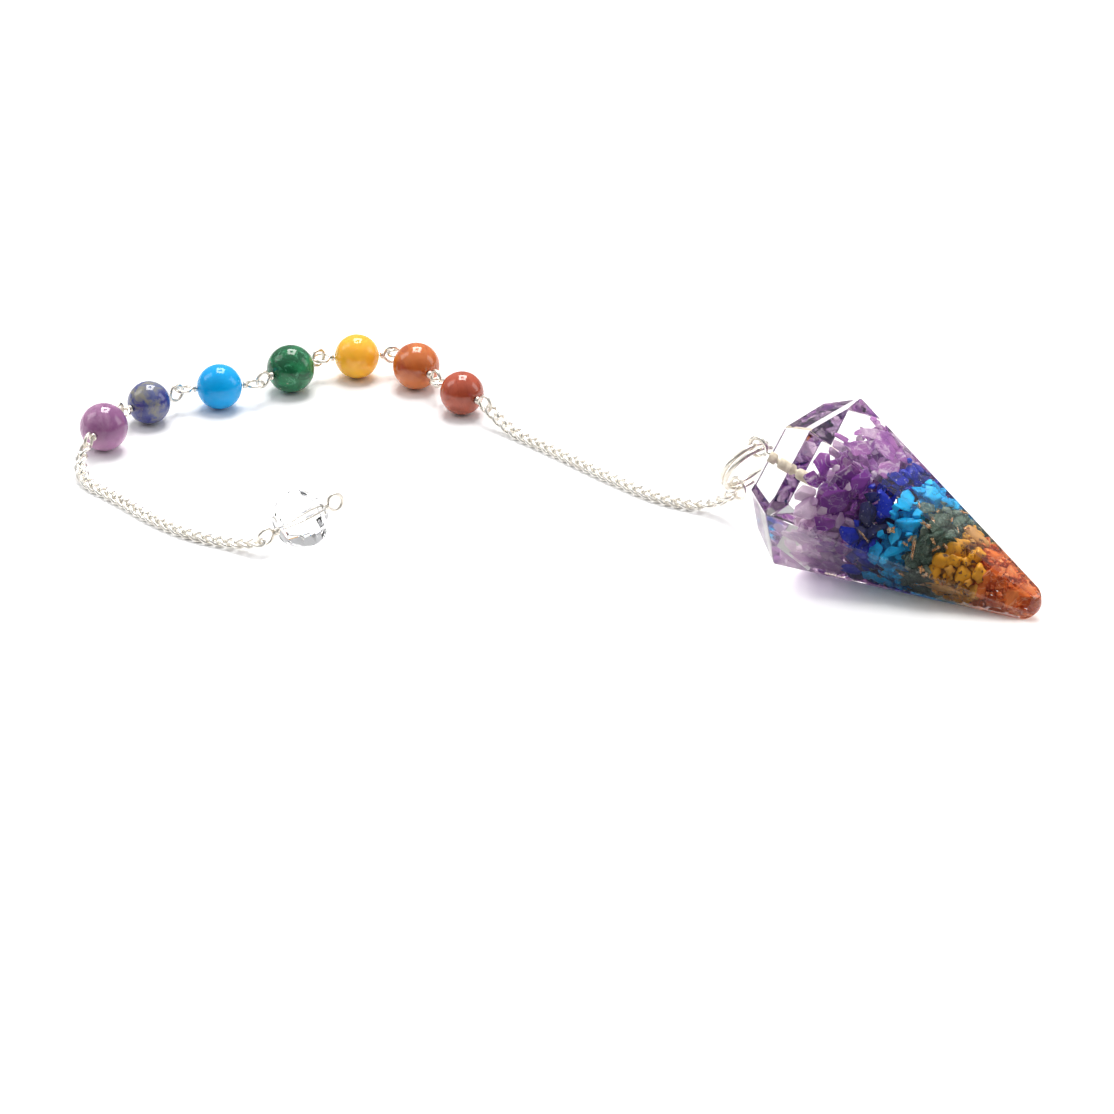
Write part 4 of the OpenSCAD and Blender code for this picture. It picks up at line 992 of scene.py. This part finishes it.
beads = {
    "red": {"at": (-11.584, 24.217, 2.913), "r": 2.913, "heading": 131.5, "rolls": (90, 4)},
    "orange": {"at": (-17.755, 32.363, 3.1415), "r": 3.1415, "heading": 123.5, "rolls": (92, 0)},
    "yellow": {"at": (-25.752, 35.843, 2.974), "r": 2.974, "heading": 186.5, "rolls": (88, -6)},
    "green": {"at": (-34.460, 31.368, 3.2025), "r": 3.2025, "heading": 224.5, "rolls": (90, 84)},
    "turquoise": {"at": (-43.728, 26.004, 3.0195), "r": 3.0195, "heading": 190.5, "rolls": (0, 5)},
    "blue": {"at": (-52.853, 21.283, 2.867), "r": 2.867, "heading": 221, "rolls": (90, -5)},
    "violet": {"at": (-58.362, 12.987, 3.172), "r": 3.172, "heading": 249, "rolls": (90, 90)},
}
# In each bead's look, the under colour with its share is painted light towards the bottom, and the band share sets a
# painted shade band above it
beadLooks = {"red": {"scale": 220.0, "dark": (0.28, 0.045, 0.02, 1), "body": (0.45, 0.08, 0.035, 1),
                     "light": (0.52, 0.14, 0.07, 1), "darkShare": 0.36, "vein": (0.26, 0.04, 0.018, 1),
                     "veinShare": 0.4, "under": (0.38, 0.1, 0.055, 1), "underShare": 0.6, "paintedShadeShare": 0.4,
                     "glow": 0.2},
             "orange": {"scale": 190.0, "dark": (0.38, 0.06, 0.012, 1), "body": (0.58, 0.155, 0.032, 1),
                        "light": (0.72, 0.3, 0.1, 1), "stretch": (1, 1, 2.0), "under": (0.64, 0.2, 0.055, 1),
                        "underShare": 0.8, "paintedShadeShare": 0.5, "glow": 0.35},
             "yellow": {"scale": 170.0, "shine": 0.35, "dark": (0.98, 0.4, 0.02, 1), "body": (1.0, 0.49, 0.045, 1),
                        "light": (1.0, 0.6, 0.17, 1), "glowRadius": (1.0, 0.5, 0.12), "under": (1.0, 0.52, 0.045, 1),
                        "underShare": 0.85, "paintedShadeShare": 0.2, "glow": 0.5, "glowScale": 0.0025},
             "green": {"scale": 400.0, "shine": 0.35, "dark": (0.008, 0.09, 0.035, 1), "body": (0.022, 0.24, 0.09, 1),
                       "light": (0.12, 0.42, 0.24, 1), "darkShare": 0.5, "lightShare": 0.43,
                       "speck": (0.5, 0.42, 0.34, 1), "speckAt": 0.72, "speckScale": 900.0,
                       "under": (0.03, 0.24, 0.11, 1), "underShare": 0.4, "paintedShadeShare": 0.3, "glow": 0.2,
                       "glowRadius": (0.3, 1.0, 0.6)},
             "turquoise": {"scale": 120.0, "shine": 0.3, "dark": (0.0, 0.32, 0.7, 1), "body": (0.0, 0.37, 0.8, 1),
                           "light": (0.0, 0.42, 0.85, 1), "glow": 0.1, "glowRadius": (0.2, 0.6, 1.0)},
             "blue": {"scale": 190.0, "dark": (0.035, 0.04, 0.22, 1), "body": (0.12, 0.14, 0.27, 1),
                      "light": (0.24, 0.23, 0.19, 1), "darkShare": 0.5, "lightShare": 0.53, "warp": 0.5},
             "violet": {"scale": 170.0, "dark": (0.27, 0.1, 0.24, 1), "body": (0.48, 0.28, 0.41, 1),
                        "light": (0.6, 0.46, 0.47, 1), "darkShare": 0.46, "stretch": (1, 1, 0.6),
                        "glowRadius": (1.0, 0.6, 0.9), "under": (0.58, 0.3, 0.5, 1), "underShare": 0.8,
                        "paintedShadeShare": 0.5, "glow": 0.5, "glowScale": 0.002}}
# A pin's end: a stem through the stone, a loop drawn by degrees, the wire led away from the neck, and a wrap
pinWire = {"loopR": 1.075, "wire": 0.225, "stem": 0.19, "wrap": 0.165, "wrapR": 0.36, "pitch": 0.31, "gap": 0.06,
           "turns": 2, "crystalTurns": 3, "sides": 12, "steps": 3, "stemPoints": 6, "stemShort": 0.25,
           "loop": (212, 500, 12), "away": ((0.02, 0.2, 0.16), (-0.12, -0.1, 0.34)), "wrapStart": -100,
           "wrapSteps": 12, "wrapInset": 0.16, "taper": 9}

# Drilling of the beads, whose surface stays "under" the solid's
drilling = {"bore": 0.35, "lip": 0.09, "rimOut": 0.4, "rimUp": 0.25, "under": 0.002, "along": 56, "around": 80}
polish = {"smooth": 0.03, "rough": 0.09, "shine": 0.5, "relief": 0.000006}


def buildBead(kind):
    bead, around = beads[kind], drilling["around"]
    r, bore, lip = bead["r"] - drilling["under"], drilling["bore"], drilling["lip"]
    turn = placedAt(bead["at"], bead["heading"])
    start = math.asin((bore + lip) / r)
    outline = [(-r * math.cos(a), r * math.sin(a)) for a in np.linspace(start, math.pi - start, drilling["along"])]
    inner = math.sqrt(r * r - (bore + lip) ** 2) - lip
    rim = (inner + lip * drilling["rimOut"], bore + lip * drilling["rimUp"])
    outline += [rim] + [(x, bore) for x in (inner, inner / 2, 0, -inner / 2, -inner)] + [(-rim[0], rim[1])]
    turns = [2 * math.pi * k / around for k in range(around)]
    rows = [[turn @ Vector((x, y * math.cos(a), y * math.sin(a))) for a in turns] for x, y in outline]
    # each stone is cut from its own place
    look = {**polish, "turn": (bead["r"], bead["heading"] * 0.02, 1.3), **beadLooks[kind]}
    name = kind + "Bead"
    addPiece(name, ringedMesh(name, rows, closed=True), stoneMaterial(name, look), kind + "_bead")


def pinRuns(half, turns, rolls, turn):  # stem, loop and wraps of both ends, in one wire each
    p, runs = pinWire, []
    wrapFrom = half + p["gap"]
    neck = wrapFrom + turns * p["pitch"]
    for side, roll in ((-1, rolls[0]), (1, rolls[1])):
        lean = Matrix.Rotation(math.radians(roll), 4, "X")
        flip = Matrix.Diagonal((side, 1, side, 1))
        stem = [Vector((x, 0, 0)) for x in np.linspace(0, neck - p["stemShort"], p["stemPoints"])]
        centre = neck + p["loopR"]
        loop = [Vector((centre + p["loopR"] * math.cos(a), p["loopR"] * math.sin(a), 0.0))
                for a in np.radians(np.arange(*p["loop"]))]
        away = [Vector((neck + x, y, z)) for x, y, z in p["away"]]
        helix, inset = [], p["wrapInset"]
        count = turns * p["wrapSteps"] - 3
        for i in range(count):
            a = math.radians(p["wrapStart"] + 360 / p["wrapSteps"] * i)
            x = neck - inset - (neck - wrapFrom - 2 * inset) * i / (count - 1)
            helix.append(Vector((x, p["wrapR"] * math.sin(a), p["wrapR"] * math.cos(a))))
        run = smoothed(stem + loop, p["steps"])
        tail = smoothed(loop[-2:] + away + helix, p["steps"])
        thin = (p["stemPoints"] - 1) * p["steps"]  # the stem is thinner than the loop
        runs.append(([turn @ lean @ flip @ q for q in run], [p["stem"]] * thin + [p["wire"]] * (len(run) - thin)))
        tailRadii = [p["wire"] + (p["wrap"] - p["wire"]) * min(1, i / p["taper"]) for i in range(len(tail))]
        runs.append(([turn @ lean @ flip @ q for q in tail], tailRadii))
    return runs


for kind, bead in beads.items():
    buildBead(kind)
    runs = pinRuns(bead["r"], pinWire["turns"], bead["rolls"], placedAt(bead["at"], bead["heading"]))
    wirePiece(kind + "Pin", runs, kind + "_pin", sides=pinWire["sides"])
print("beads strung")

crystal = {"at": (-31.739, -16.269, 3.695), "heading": 30.5, "slope": 13.79, "length": 6.2, "rolls": (97, 86),
           "edge": 0.07, "flat": 1.5, "bevelFrom": 12}


def buildCrystal():
    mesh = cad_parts["crystal_bead"].data.copy()
    work = bmesh.new()
    work.from_mesh(mesh)
    bmesh.ops.remove_doubles(work, verts=work.verts, dist=1e-6)
    bmesh.ops.dissolve_limit(work, angle_limit=math.radians(crystal["flat"]), verts=work.verts, edges=work.edges)
    for face in work.faces:
        face.smooth = False
    work.to_mesh(mesh)
    work.free()
    piece = addPiece("crystalDrop", mesh, crystalGlass, "crystal_bead")
    bevel = piece.modifiers.new("softEdges", "BEVEL")
    bevel.width, bevel.segments = crystal["edge"] * mm, 1
    bevel.limit_method, bevel.angle_limit = "ANGLE", math.radians(crystal["bevelFrom"])
    turn = placedAt(crystal["at"], crystal["heading"], crystal["slope"])
    runs = pinRuns(crystal["length"] / 2, pinWire["crystalTurns"], crystal["rolls"], turn)
    wirePiece("crystalPin", runs, "crystal_pin", sides=pinWire["sides"])


buildCrystal()
print("crystal hung")
